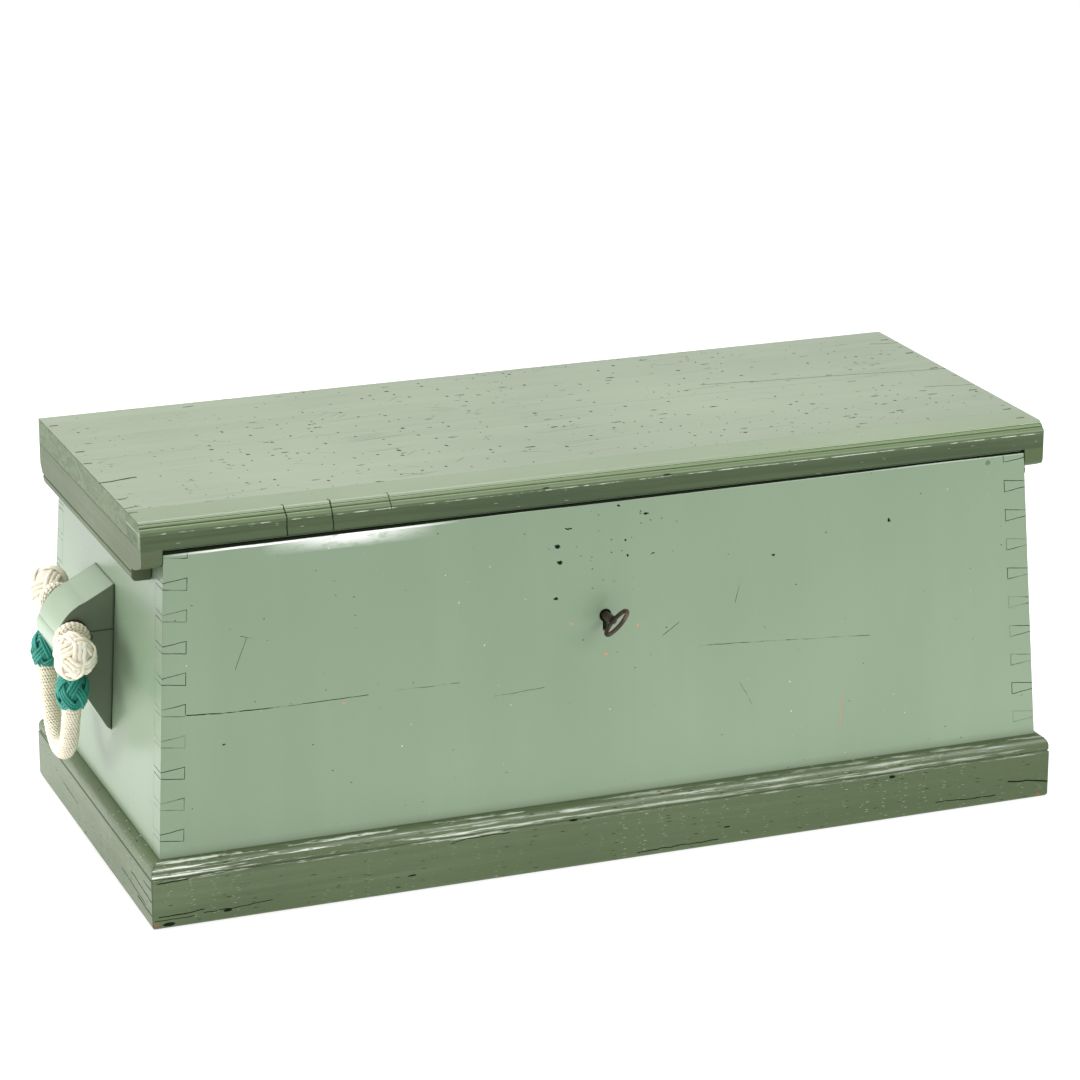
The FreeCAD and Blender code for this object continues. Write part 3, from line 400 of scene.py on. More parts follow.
def makeBodyPaint(look, marks):
    finish, shader, coord = newFinish("sageBodyPaint")
    cloud, brush, fine, colour = paintCommon(coord, look, (14.0, 14.0, 1.6))
    x, y, z = coord.part("X"), coord.part("Y"), coord.part("Z")
    wobble = (coord.noise(60.0, 2.0) - 0.5) * 0.0022
    u, v = x + wobble, z + wobble
    crumble = (coord.noise(420.0, 2.0) - 0.5) * 0.0042
    hu, hv = u + crumble, v - crumble * 0.7
    flat = x + y  # runs along the front and along the ends
    skin, innerFace = bodyShape["skin"], bodyShape["innerFace"]
    inX, inY = halfAt(z, "Length") - abs(x), halfAt(z, "Depth") - abs(y)
    onEnds = inX < inY
    outside = (inX < skin).most(inY < skin) * (z < marks["rim"])
    inside = (inX > innerFace) * (inY > innerFace)
    front = (y < 0) * (inY < skin) * (z < marks["frontRim"])

    # cracks fade along their length, and holes and bare spots have broken edges
    faded = coord.noise(45.0, 3.0).span(0.4, 0.52) * 0.85 + 0.15
    cracks = union([stroke(u, v, *mark) for mark in marks["cracks"]]) * faded
    holes = [spot(hu, hv, *mark) for mark in marks["holes"]]
    crack = union([cracks] + holes + [spot(hu, hv, *marks["filledHole"]) * 0.4]) * front
    bare = [spot(hu, hv, *mark) for mark in marks["bare"]]
    chip = union(bare + [stroke(u, v, *marks["scratch"])]) * front
    nearLock = spot(x, z, *marks["nearLock"]) * front
    lockDots = (flat + crumble).scattered(hv, 90.0, 1.6, 0.13, 0.13) * nearLock
    dots = flat.scattered(z, 55.0, 1.6, 0.07, 0.05).most(lockDots) * outside
    # pale specks in the gleam tone are painted glints, in patches
    pale = flat.scattered(z, 85.0, 0.7, 0.07, 0.06) * coord.noise(9.0, 1.0).span(0.5, 0.6)
    # painted shade: a dark line in the crevice along each becket cleat's edge on the end board
    seam = stroke(abs(y - becketCreviceShade["middle"]), z, (becketCreviceShade["half"], becketCreviceShade["low"]),
                  (becketCreviceShade["half"], becketCreviceShade["high"]), becketCreviceShade["width"])
    dark = crack.most(jointLines(coord)).most(dots * 0.8).most(seam) * (1 - inside)

    # a dark band painted as the shadow in the gap under the lid, and a painted highlight on the
    # left beneath it
    rise = x * marks["lidSlope"]
    gap = ((z - (coord.noise(5.0, 2.0) - 0.5) * 0.002 - rise) > marks["gapShadowFrom"]) * front
    ragged = (coord.stretched((30.0, 1.0, 160.0)).noise(1.0, 4.0, 0.7) - 0.5) * 0.004
    streak = coord.stretched((40.0, 1.0, 160.0)).noise(1.0, 4.0, 0.7)
    # a painted highlight: a thin broken line along the front's rounded top edge, and a pool of it
    # below on the left
    line = (lineAt(z + ragged * 0.4 - rise, marks["highlightLine"], 0.0005, 0.0014)
            * lineAt(x, -0.31, 0.08, 0.15))
    highlightPool = ((z + ragged).span(*marks["highlightPoolHeights"]) * lineAt(x, -0.275, 0.01, 0.09)
            * streak.span(0.24, 0.5))
    paintedHighlight = (line * streak.span(0.26, 0.42)).most(highlightPool) * front

    colour = layered(colour, [
        # painted shade: darker towards the top, and a painted shadow high on the ends under the lid
        (z.span(0.12, 0.36) * 0.45, look["upper"]),
        (z.span(0.24, 0.37) * onEnds * 0.6, look["paintedShadowUnderLid"]),
        (pale * outside * 0.55, look["gleam"]),
        (paintedHighlight, look["paintedHighlight"]),
        ((1 - z.span(*marks["nearFoot"])) * 0.45, look["foot"]),
        (chip, look["undercoat"]), (dark, look["line"]), (gap, look["gap"])])
    grain = coord.add("ShaderNodeMix", {"data_type": "VECTOR"},
                      {0: onEnds, 4: coord, 5: turned(coord)}, 1)
    wood, _, _ = pineColour(grain, pine)
    colour = inside.tint(colour, wood)
    dull = gap.most(inside)
    height = brush * 0.16 + fine * 0.08 + cloud * 0.8 - dark * 0.9 - chip * 0.5
    connect(shader, {
        "Base Color": colour, "Metallic": dark.most(gap),
        "Roughness": (cloud * 0.12 + look["rough"] - 0.06 + dark * 0.3).most(dull * 0.6),
        "Coat Weight": (1 - dull) * (1 - dark) * look["coat"], "Coat Roughness": look["coatRough"],
        "Normal": bump(height, 0.4, 0.0014, look["edge"])})
    return finish


# the lid's faces and marks, in metres, laid out as the body's are
lidShape = {
    "top": 0.4069, "arris": (0.4066, 0.4072), "end": 0.4848, "joint": (0.3816, 0.3824),
    "mostWorn": ((0.02, -0.02), 0.42, 0.22),
    "checks": [((0.2087, 0.0638), (0.4899, 0.0281), 0.0007),
               ((-0.484, -0.05), (-0.447, -0.044), 0.0022),
               ((-0.484, -0.14), (-0.47, -0.137), 0.0012),
               ((0.452, 0.15), (0.484, 0.143), 0.0009),
               ((0.43, -0.03), (0.484, -0.04), 0.0007),
               ((-0.332, 0.181), (-0.322, 0.182), 0.0012)],
    "chips": [((-0.125, -0.19), 0.004, 0.0022), ((-0.027, -0.191), 0.0065, 0.0018),
              ((0.3, -0.19), 0.0075, 0.0016)],
}


def endMasks(coord):
    # the lid's ends, the joint line on them, and where their paint is rubbed
    end = abs(coord.part("X")) > lidShape["end"]
    joint = (1 - coord.part("Z").span(*lidShape["joint"])) * end
    blotch = coord.stretched((1.0, 40.0, 90.0)).noise(1.6, 5.0, 0.75, 0.4).span(0.4, 0.66)
    return end, joint, end * blotch


def makeLidPaint(look, moss, shape):
    # sage on top, and moss green on the ends and the underside
    finish, shader, coord = newFinish("sageLidPaint")
    cloud, brush, fine, colour = paintCommon(coord, look, (2.0, 60.0, 60.0), 0.35)
    x, y, z = coord.part("X"), coord.part("Y"), coord.part("Z")
    top = z > shape["top"]
    worn = coord.stretched((1.0, 1.6, 1.0)).noise(4.5, 2.0).span(0.36, 0.62) * 0.75 + 0.25
    middle = spot(x, y, *shape["mostWorn"]) * 0.55 + 0.45
    crumble = (coord.noise(300.0, 2.0) - 0.5) * 0.005
    nx, ny = x + crumble, y - crumble
    nicks = union([nx.scattered(ny, 34.0, 1.3, 0.095, 0.15),
                   nx.scattered(ny, 80.0, 0.8, 0.13, 0.26),
                   nx.scattered(ny + 0.013, 17.0, 5.0, 0.12, 0.24) * 0.8,
                   (x + y * 0.9).scattered(y - x * 0.9, 9.0, 26.0, 0.2, 0.05) * 0.28,
                   (x - y * 0.5).scattered(y + x * 0.5, 8.0, 30.0, 0.22, 0.06) * 0.28,
                   x.scattered(y - x * 0.1, 5.0, 60.0, 0.24, 0.12) * 0.25])
    nicks = (nicks * worn * middle * 2.4).least(1.0)
    waver = y + (coord.noise(40.0, 2.0) - 0.5) * 0.006
    dark = union([nicks] + [stroke(x, waver, *mark) for mark in shape["checks"]]) * top
    chips = union([spot(x, y, *mark) for mark in shape["chips"]]) * top
    end, joint, rubbed = endMasks(coord)
    under = cloud.span(0.3, 0.72).tint(tone(*moss["deep"]), tone(*moss["base"]))
    under = (rubbed * 0.65).tint(under, tone(*moss["rubbed"]))
    ridge = coord.stretched((1.0, 30.0, 160.0)).noise(1.0, 3.0)
    edge = (coord.noise(120.0, 2.0) - 0.5) * 0.0006
    sides = end.most(1 - (z + edge).span(*shape["arris"]))
    colour = layered(sides.tint(colour, under), [
        ((dark * 0.92).least(1.0), look["nick"]), (joint, moss["line"]),
        (chips, look["undercoat"])])
    height = (brush * 0.22 + fine * 0.08 + cloud * 0.7 - dark * 0.9
              + rubbed * 0.5 + end * ridge * 0.6)
    connect(shader, {
        "Base Color": colour, "Roughness": brush * 0.1 + look["rough"] + dark * 0.3 + end * 0.15,
        "Metallic": dark * 0.9, "Coat Weight": (1 - end) * (1 - dark) * look["coat"],
        "Coat Roughness": look["coatRough"],
        "Normal": bump(height, 0.45, 0.0014, look["edge"])})
    return finish


# moss green gloss paint on the mouldings, the lid's ends and its cleats
moss = {
    "base": (66, 86, 48), "pale": (84, 104, 66), "deep": (56, 75, 40),
    # the right tone on the next line is painted shade towards the chest's right end
    "rubbed": (100, 118, 86), "right": (66, 86, 48), "gleam": (232, 238, 226),
    "wood": (128, 84, 52), "line": (14, 20, 8),
    "rough": 0.38, "coat": 0.16, "coatRough": 0.14, "edge": 0.001, "shine": 0.32,
    "front": -0.19, "left": -0.488,  # marks of these faces lie past these places
    "corner": (0.4925, 0.2236),  # half length and half depth at the skirt's mitres
}
sageBody = makeBodyPaint(sage, bodyMarks)
sageLid = makeLidPaint(dict(sage, base=(146, 158, 136), pale=(153, 166, 144),
                            deep=(135, 147, 125), edge=0.002), moss, lidShape)
paintOnto(sageBody, "front_board", "back_board", "end_board_left", "end_board_right")
paintOnto(sageLid, "lid_board_front", "lid_board_back")
print("sage paint done")


def makeMossPaint(name, look, shape):
    finish, shader, coord = newFinish(name)
    cloud, brush, fine, colour = paintCommon(coord, look, (3.0, 3.0, 90.0), 0.5)
    x, y, z = coord.part("X"), coord.part("Y"), coord.part("Z")
    flat = x + y
    front = y < look["front"]
    left = x < look["left"]
    patch = coord.noise(9.0, 3.0, 0.6)
    ragged = (coord.stretched((30.0, 30.0, 200.0)).noise(1.0, 3.0, 0.7) - 0.5) * 0.003
    torn = z + ragged
    streak = coord.stretched((16.0, 16.0, 420.0)).noise(1.0, 4.0, 0.7)
    streaky = streak + patch * 0.4
    gleams = [lineAt(torn, at, wide * 0.4, wide) * streaky.span(low, low + 0.1) * weight
              for at, wide, low, weight in shape["gleams"]]
    cornerX, cornerY = look["corner"]
    frontRun = (0 - y - cornerY) > (abs(x) - cornerX)  # the front's side of the mitres
    gleam = union(gleams) * frontRun * front * (1 - x.span(-0.35, 0.05) * 0.6)
    ticks = flat.scattered(z + ragged * 0.3, 34.0, 8.0, 0.12, 0.3) * shape["ticks"]
    glints = flat.scattered(z + ragged * 0.4, 44.0, 13.0, 0.11, 0.5) * shape["ticks"]
    waver = z + (coord.noise(50.0, 2.0) - 0.5) * 0.004
    knots = [spot(x, torn, mark[:2], *mark[2:]) * front for mark in shape["knots"]]
    shakes = [stroke(x, waver, mark[:2], mark[2:4], mark[4]) * front for mark in shape["shakes"]]
    ends = [stroke(y, waver, mark[:2], mark[2:4], mark[4]) * left for mark in shape["ends"]]
    dark = union([ticks * 0.8] + knots + shakes + ends)
    colour = layered(colour, [
        # painted shade: darker towards the right end
        (x.span(-0.3, 0.5) * 0.65, look["right"]),
        (glints * patch.span(0.42, 0.6) * 0.55, look["gleam"]),
        (gleam * 0.9, look["gleam"]),
        ((dark * 0.9).least(1.0), look["line"])])
    chips = [spot(x, torn, mark[:2], *mark[2:]) * front for mark in shape["chips"]]
    if chips:
        colour = union(chips).tint(colour, tone(*look["wood"]))
    height = brush * 0.5 + streak * 0.5 + fine * 0.1 + cloud * 0.5 - dark * 1.2 + gleam * 0.2
    connect(shader, {
        "Base Color": colour, "Roughness": patch * 0.18 + look["rough"] - 0.08 + dark * 0.3,
        "Metallic": dark * 0.9, "Coat Weight": (1 - dark) * look["coat"],
        "Coat Roughness": look["coatRough"], "Specular IOR Level": look["shine"],
        "Normal": bump(height, 0.6, 0.0014, look["edge"])})
    return finish


# in metres: a gleam's height, width, threshold and strength; a knot's or chip's x, z, half
# width and half height; a shake's start, end and width, by x and z, or by y and z on the left
skirtShape = {
    "gleams": [(0.0672, 0.001, 0.66, 0.9), (0.0622, 0.0022, 0.68, 1.0), (0.056, 0.0022, 0.66, 1.0),
               (0.0508, 0.0012, 0.7, 0.9)],
    "ticks": 1.0,
    "knots": [(-0.416, 0.011, 0.005, 0.0018), (0.308, 0.048, 0.004, 0.0018),
              (-0.224, 0.018, 0.005, 0.001), (0.12, 0.02, 0.004, 0.001),
              (-0.05, 0.052, 0.005, 0.0012), (-0.476, 0.005, 0.007, 0.0022)],
    "shakes": [(-0.486, 0.013, -0.44, 0.015, 0.0007), (-0.44, 0.011, -0.37, 0.014, 0.0005),
               (-0.49, 0.009, -0.45, 0.01, 0.0005), (-0.486, 0.049, -0.456, 0.05, 0.0008),
               (0.445, 0.024, 0.492, 0.018, 0.001), (0.36, 0.012, 0.43, 0.01, 0.0006),
               (0.02, 0.006, 0.11, 0.0075, 0.0006), (-0.18, 0.048, -0.12, 0.049, 0.0005)],
    "ends": [(-0.15, 0.034, -0.222, 0.03, 0.0009), (-0.11, 0.024, -0.2, 0.019, 0.0007),
             (-0.222, 0.015, -0.17, 0.017, 0.001), (0.12, 0.03, 0.06, 0.028, 0.0006),
             (-0.222, 0.042, -0.195, 0.043, 0.0008), (0.215, 0.055, 0.15, 0.056, 0.001)],
    "chips": [(-0.489, 0.006, 0.004, 0.0014), (0.481, 0.004, 0.003, 0.0018)],
}
cleatShape = {
    "gleams": [], "ticks": 0.0, "knots": [], "shakes": [], "chips": [],
    "ends": [(0.3, 0.3495, -0.3, 0.3495, 0.0008), (0.3, 0.3812, -0.3, 0.3812, 0.0016)],
}
skirtMoss = dict(moss, base=(86, 102, 69), pale=(101, 118, 84), deep=(73, 89, 57),
                 right=(62, 78, 44), edge=0.0016)
cleatMoss = dict(moss, base=(74, 88, 56), pale=(86, 100, 68), deep=(66, 80, 52),
                 coat=0.05, rough=0.5)
mossSkirt = makeMossPaint("mossSkirtPaint", skirtMoss, skirtShape)
mossCleat = makeMossPaint("mossCleatPaint", cleatMoss, cleatShape)
paintOnto(mossSkirt, "skirt_front", "skirt_back", "skirt_left", "skirt_right", "skirt_nails")
paintOnto(mossCleat, "lid_end_cleat_left", "lid_end_cleat_right")


# the lid's front strip, in metres; a quirk's place, inner and outer width and depth of its painted
# shade
stripShape = {
    "grooveShadeLines": [(-0.1928, 0.0002, 0.0005, 0.8), (-0.1897, 0.0005, 0.0011, 1.0)],
    "quirkFoot": 0.399, "frontBead": (0.3985, 0.4022), "beadFront": -0.1929, "beadBack": -0.189,
    # the arris height on the next line is where a painted highlight runs along the face's upper
    # arris
    "top": 0.404, "chipFoot": 0.405, "shoulder": 0.3962, "arris": 0.3968,
    "faceTop": 0.395, "face": -0.1955, "splitBack": -0.181,
    "splits": (-0.3385, -0.292), "shortSplit": (-0.232, 0.396),
    "dents": [((0.06, 0.3985), 0.005, 0.001), ((-0.07, 0.399), 0.004, 0.0008)],
    "chips": [((-0.125, -0.193), 0.0045, 0.0022), ((-0.027, -0.1935), 0.008, 0.0018),
              ((0.3, -0.193), 0.008, 0.0016)],
}


def makeStripPaint(look, under, shape):
    # sage on top, two beads, and a moss green face with a gleaming arris
    finish, shader, coord = newFinish("mossStripPaint")
    cloud, brush, fine, colour = paintCommon(coord, look, (3.0, 3.0, 120.0), 0.5)
    x, y, z = coord.part("X"), coord.part("Y"), coord.part("Z")
    patch = coord.noise(8.0, 3.0, 0.6)
    ragged = (coord.stretched((30.0, 1.0, 200.0)).noise(1.0, 3.0, 0.7) - 0.5) * 0.0014
    streak = coord.stretched((70.0, 1.0, 300.0)).noise(1.0, 4.0, 0.7)
    # dark lines painted along the quirks, as shade in the grooves
    quirkShade = union([lineAt(y, at, full, gone) * deep for at, full, gone, deep in shape["grooveShadeLines"]])
    quirkShade = quirkShade * (z > shape["quirkFoot"])
    frontBead = z.span(*shape["frontBead"]) * (y < shape["beadFront"])
    backBead = (y > shape["beadFront"]) * (y < shape["beadBack"])
    # a painted highlight: a broken bright line along the face's upper arris
    arris = lineAt(z + ragged, shape["arris"], 0.0001, 0.0006)
    arris = arris * (streak + patch * 0.6).span(0.74, 0.88)
    face = (z < shape["faceTop"]) * (y < shape["face"])
    glints = x.scattered(z + ragged, 40.0, 12.0, 0.12, 0.1) * face
    u = x + (coord.noise(80.0, 2.0) - 0.5) * 0.004
    splits = [lineAt(u, at, 0.0003, 0.0009) for at in shape["splits"]]
    splitAt, splitFoot = shape["shortSplit"]
    splits.append(lineAt(u, splitAt, 0.0002, 0.0006) * (z > splitFoot))
    dents = [spot(x, z, *mark) for mark in shape["dents"]]
    dark = union([union(splits) * (y < shape["splitBack"])] + dents)
    above = (y > shape["beadBack"]) * (z > shape["top"])
    end, joint, rubbed = endMasks(coord)
    nicks = x.scattered(y, 46.0, 3.2, 0.09, 0.18)
    topPaint = brush.span(0.3, 0.7).tint(tone(*under["base"]), tone(*under["pale"]))
    topPaint = (nicks * 0.7).tint(topPaint, tone(*under["nick"]))
    colour = layered(colour, [
        ((z > shape["shoulder"]) * 0.6, look["pale"]),
        ((frontBead * 0.9).most(backBead), look["bead"]),
        (quirkShade * 0.85, look["line"]),
        (glints * 0.4, look["gleam"]), (arris * 0.7, look["gleam"])])
    colour = (above * (1 - end)).tint(colour, topPaint)
    chips = union([spot(x, y, *mark) for mark in shape["chips"]]) * (z > shape["chipFoot"])
    colour = layered(colour, [(joint, look["line"]), (rubbed * 0.65, look["rubbed"]),
                              (dark, look["line"]), (chips, under["undercoat"])])
    height = brush * 0.4 + streak * 0.35 + fine * 0.1 + cloud * 0.5 - dark * 1.2
    connect(shader, {
        "Base Color": colour, "Metallic": dark.most(quirkShade) * 0.8,
        "Roughness": patch * 0.16 + look["rough"] - 0.06 + dark * 0.3 + end * 0.15,
        "Coat Weight": (1 - end) * look["coat"], "Coat Roughness": look["coatRough"],
        "Specular IOR Level": look["shine"],
        "Normal": bump(height, 0.5, 0.0014, look["edge"])})
    return finish


stripMoss = dict(moss, base=(54, 72, 38), pale=(78, 97, 60), deep=(46, 63, 32),
                 bead=(108, 128, 90))
stripSage = dict(sage, base=(131, 145, 119), pale=(139, 153, 128), nick=(58, 68, 48))
mossStrip = makeStripPaint(stripMoss, stripSage, stripShape)
paintOnto(mossStrip, "lid_front_moulding")
print("moss paint done")

# the becket cleats, sage, with their side faces painted darker as painted shade
cleatSage = {
    "base": (157, 174, 151), "pale": (168, 184, 163), "deep": (148, 166, 141),
    # the side tone on the next line is painted shade on the cleats' side faces
    "side": (78, 94, 66), "line": (38, 46, 30), "inHole": (62, 28, 20),
    "middle": 0.009, "half": 0.0355,  # the sides lie past half from the middle
    "seam": 0.2465, "holeX": 0.5115, "holeRadius": 0.0147,
    # the next spot is painted shade: a patch in the hole's dark tone, standing for the shaded mouth
    # of the hole
    "holeShadePatch": ((0.0135, 0.2405), 0.007, 0.006),
    "rough": 0.34, "coat": 0.25, "coatRough": 0.16, "edge": 0.0035,
}


def makeCleatPaint(look):
    finish, shader, coord = newFinish("sageCleatPaint")
    cloud, brush, fine, colour = paintCommon(coord, look, (5.0, 5.0, 30.0), 0.4)
    x, y, z = coord.part("X"), coord.part("Y"), coord.part("Z")
    sides = abs(y - look["middle"]) > look["half"]
    specks = (x + y).scattered(z, 60.0, 1.3, 0.1, 0.12)
    seam = lineAt(z, look["seam"], 0.0002, 0.0006) * sides
    acrossHole = abs(x) - look["holeX"]
    upHole = z - look["seam"]
    inHole = (acrossHole * acrossHole + upHole * upHole).root() < look["holeRadius"]
    fray = (coord.noise(260.0, 3.0) - 0.5) * 0.003
    # painted shade: a patch in the hole's dark tone beside the hole, below the seam, standing for
    # its shaded mouth
    holeShadePatch = spot(0 - acrossHole + fray, z + fray, *look["holeShadePatch"]) * sides * (z < look["seam"])
    colour = layered(colour, [
        # painted shade on the side faces
        (sides * 0.85, look["side"]), (inHole.most(holeShadePatch), look["inHole"]),
        ((specks * 0.5).most(seam * 0.8), look["line"])])
    height = brush * 0.3 + fine * 0.1 + cloud * 0.6 - seam * 0.8
    connect(shader, {
        "Base Color": colour, "Roughness": brush * 0.12 + look["rough"] - 0.04,
        "Coat Weight": look["coat"], "Coat Roughness": look["coatRough"],
        "Normal": bump(height, 0.4, 0.0014, look["edge"])})
    return finish


sageCleat = makeCleatPaint(cleatSage)
paintOnto(sageCleat, "becket_cleat_upper_left", "becket_cleat_lower_left",
          "becket_cleat_upper_right", "becket_cleat_lower_right")


# the lid's nails, filled and painted over
filledNail = {"light": (88, 100, 76), "dark": (44, 52, 38), "rough": 0.5}


def makeNailPaint(look):
    finish, shader, coord = newFinish("filledNails")
    worn = coord.noise(140.0, 3.0).span(0.4, 0.6)
    connect(shader, {"Base Color": worn.tint(tone(*look["dark"]), tone(*look["light"])),
                     "Roughness": look["rough"], "Normal": bump(worn, 0.5, 0.0005)})
    return finish


paintOnto(makeNailPaint(filledNail), "lid_nails")
paintOnto(makePine("barePine", pine, False), "bottom_boards", "bottom_nails")
paintOnto(makePine("barePineAcross", pine, True), "till_front", "till_bottom")

# iron, brown on the key and darker on the hinges: light tone, rust, share of metal, roughness
iron = {
    "key": ((86, 66, 54), (48, 34, 28), 0.3, 0.38),
    "hinge": ((58, 54, 50), (34, 30, 28), 0.6, 0.5),
    "lock": ((86, 80, 72), (52, 44, 38), 0.7, 0.45),
    "screw": ((104, 98, 90), (62, 52, 44), 0.8, 0.42),
}


def makeIron(name, look):
    light, rust, metal, rough = look
    finish, shader, coord = newFinish(name + "Iron")
    skin = coord.noise(260.0, 4.0, 0.65)
    patch = coord.noise(48.0, 3.0, 0.6)
    colour = patch.span(0.4, 0.62).tint(tone(*rust), tone(*light))
    connect(shader, {"Base Color": colour, "Metallic": metal,
                     "Roughness": skin * 0.3 + rough - 0.12,
                     "Normal": bump(skin, 0.4, 0.0006)})
    return finish


ironFinish = {name: makeIron(name, look) for name, look in iron.items()}
paintOnto(ironFinish["key"], "key")
paintOnto(ironFinish["hinge"], "hinge_leaf_left", "hinge_leaf_right", "hinge_strap_left",
          "hinge_strap_right", "hinge_pins")
paintOnto(ironFinish["lock"], "lock_plate", "lock_case", "lock_bolt", "lock_staple")
paintOnto(ironFinish["screw"], "hinge_leaf_screws", "lid_screws", "lock_screws",
          "becket_cleat_screws")
print("wood and iron done")


# rope work: each loop runs along the same points as the frame's tube. Of a knot's turns, the
# first is its leads, the second its bights and the third its strands side by side.
beckets = {
    "middle": (-0.5115, 0.009, 0.2465),
    "route": [(-0.5157, -0.0362, 0.229), (-0.5185, -0.0415, 0.2065), (-0.52, -0.046, 0.1805),
              (-0.5203, -0.037, 0.1585), (-0.5202, -0.028, 0.1342), (-0.52, -0.0063, 0.1125),
              (-0.52, 0.0243, 0.1125), (-0.52, 0.046, 0.1385), (-0.52, 0.055, 0.1725),
              (-0.5188, 0.064, 0.1965), (-0.514, 0.0595, 0.2185), (-0.5074, 0.0542, 0.2414)],
    "loopRadius": 0.0088, "length": 0.2975, "step": 0.00056,
    "stitchWide": 0.0029, "stitchHigh": 0.0032, "stitchDeep": 0.0009,
    "eyeRadius": 0.0118, "eyeThick": 0.0066, "eyeSpread": 0.0452, "eyeUp": 0.0028,
    "tilt": (0.007, 0.076, 0.0105),
    "layRadius": 0.0024, "layThick": 0.0026, "layTurns": 4.2, "laySteps": 80, "layShadeInGroove": 0.3,
    "knobOut": 0.003, "knobUp": 0.0014, "knobRadii": (0.0189, 0.0189, 0.0213),
    "knobPoles": ((-0.34, -0.88, 0.3), (-0.2, 0.95, 0.2)), "knobOpening": 0.37,
    "knobTurns": (4, 3, 3), "knobYarn": 0.0024, "knobLift": 0.0016,
    "headMiddles": ((-0.5215, -0.046, 0.1934), (-0.519, 0.0655, 0.203)),
    "headHalf": 0.0176, "headRadius": 0.0146, "headInset": 0.0026, "headCoreInset": 0.001,
    "headTurns": (3, 5, 3), "headYarn": 0.0016, "headLift": 0.0012,
}
# the groove tone is painted shade in the cords' grooves
cords = {  # light tone, shade, groove, roughness
    "creamCord": ((250, 244, 226), (240, 230, 206), (112, 88, 64), 0.75),
    "whiteCord": ((253, 249, 236), (246, 236, 212), (132, 106, 78), 0.65),
    "greenCord": ((28, 158, 140), (16, 128, 112), (6, 50, 44), 0.5),
}


def smoothLine(name, points):
    # the even points that a NURBS spline gives for a rope's route
    curve = bpy.data.curves.new(name, "CURVE")
    curve.dimensions = "3D"
    curve.resolution_u = 24
    spline = curve.splines.new("NURBS")
    spline.points.add(len(points) - 1)
    for place, point in zip(spline.points, points):
        place.co = (*point, 1)
    spline.order_u = 3
    spline.use_endpoint_u = True
    holder = bpy.data.objects.new(name, curve)
    mesh = bpy.data.meshes.new_from_object(holder)
    line = [v.co.copy() for v in mesh.vertices]
    bpy.data.objects.remove(holder)
    bpy.data.meshes.remove(mesh)
    return line


def evenly(line, gap, closed=False):
    # the same line with its points a steady distance apart
    if closed:
        line = line + [line[0]]
    lengths = [0.0]
    for a, b in zip(line, line[1:]):
        lengths.append(lengths[-1] + (b - a).length)
    count = max(8, round(lengths[-1] / gap))
    spaced = []
    j = 0
    for i in range(count if closed else count + 1):
        want = lengths[-1] * i / count
        while j < len(line) - 2 and lengths[j + 1] < want:
            j += 1
        share = (want - lengths[j]) / max(lengths[j + 1] - lengths[j], 1e-9)
        spaced.append(line[j].lerp(line[j + 1], share))
    return spaced, lengths[-1]


def frames(line, closed=False):
    # a direction along the line at each point, and two across it that never twist
    count = len(line)
    ways = []
    for i in range(count):
        after = line[(i + 1) % count] if closed else line[min(i + 1, count - 1)]
        before = line[(i - 1) % count] if closed else line[max(i - 1, 0)]
        ways.append((after - before).normalized())
    side = ways[0].orthogonal().normalized()
    made = []
    for way in ways:
        side = (side - way * side.dot(way)).normalized()
        made.append((way, side, way.cross(side)))
    return made


def smoothAndShadeGrooves(mesh, shadesInGroove):
    # from 0 to 1, how deep in a groove a vertex lies, and so how much painted shade the cord's
    # colour takes there
    mesh.attributes.new("shadeInGroove", "FLOAT", "POINT").data.foreach_set("value", shadesInGroove)
    for face in mesh.polygons:
        face.use_smooth = True


def skin(name, line, sides, radiusAt, shadeInGrooveAt, closed=False):
    # a tube of vertices round a line, with their radius and pit by ring and side
    vertices, faces, shadesInGroove = [], [], []
    made = frames(line, closed)
    for i, (point, (_, side, up)) in enumerate(zip(line, made)):
        for k in range(sides):
            turn = 2 * math.pi * k / sides
            out = side * math.cos(turn) + up * math.sin(turn)
            vertices.append(point + out * radiusAt(i, k))
            shadesInGroove.append(shadeInGrooveAt(i, k, point, out))
    rings = len(line)
    for i in range(rings if closed else rings - 1):
        j = (i + 1) % rings
        for k in range(sides):
            m = (k + 1) % sides
            faces.append((i * sides + k, i * sides + m, j * sides + m, j * sides + k))
    if not closed:
        faces.append(tuple(reversed(range(sides))))
        faces.append(tuple(range((rings - 1) * sides, rings * sides)))
    mesh = bpy.data.meshes.new(name)
    mesh.from_pydata([tuple(v) for v in vertices], [], faces)
    mesh.update()
    smoothAndShadeGrooves(mesh, shadesInGroove)
    piece = bpy.data.objects.new(name, mesh)
    bpy.context.collection.objects.link(piece)
    return piece


def joined(name, pieces, finish):
    deselect()
    for piece in pieces:
        piece.select_set(True)
    bpy.context.view_layer.objects.active = pieces[0]
    if len(pieces) > 1:
        bpy.ops.object.join()
    whole = bpy.context.view_layer.objects.active
    whole.name = name
    whole.data.name = name
    whole.data.materials.clear()
    whole.data.materials.append(finish)
    deselect()
    return whole


def hitched(look, base, sides, gap):
    # a hitched cover: rows of small stitches, each row half a stitch on
    stitches = round(2 * math.pi * base / look["stitchWide"])

    def dome(i, k):
        row = i * gap / look["stitchHigh"]
        step = math.floor(row)
        u = (k / sides * stitches + 0.5 * (step % 2)) % 1.0 - 0.5
        v = row - step - 0.5
        slant = u + v * 0.4
        return max(0.0, 1 - (slant / 0.54) ** 2 - (v / 0.58) ** 2)

    def radiusAt(i, k):
        return base - look["stitchDeep"] * 0.6 + look["stitchDeep"] * 1.6 * math.sqrt(dome(i, k))

    # the hollows between stitches take painted shade
    def shadeInGrooveAt(i, k, point, out):
        return max(0.0, 1 - dome(i, k) * 4.5)
    return radiusAt, shadeInGrooveAt


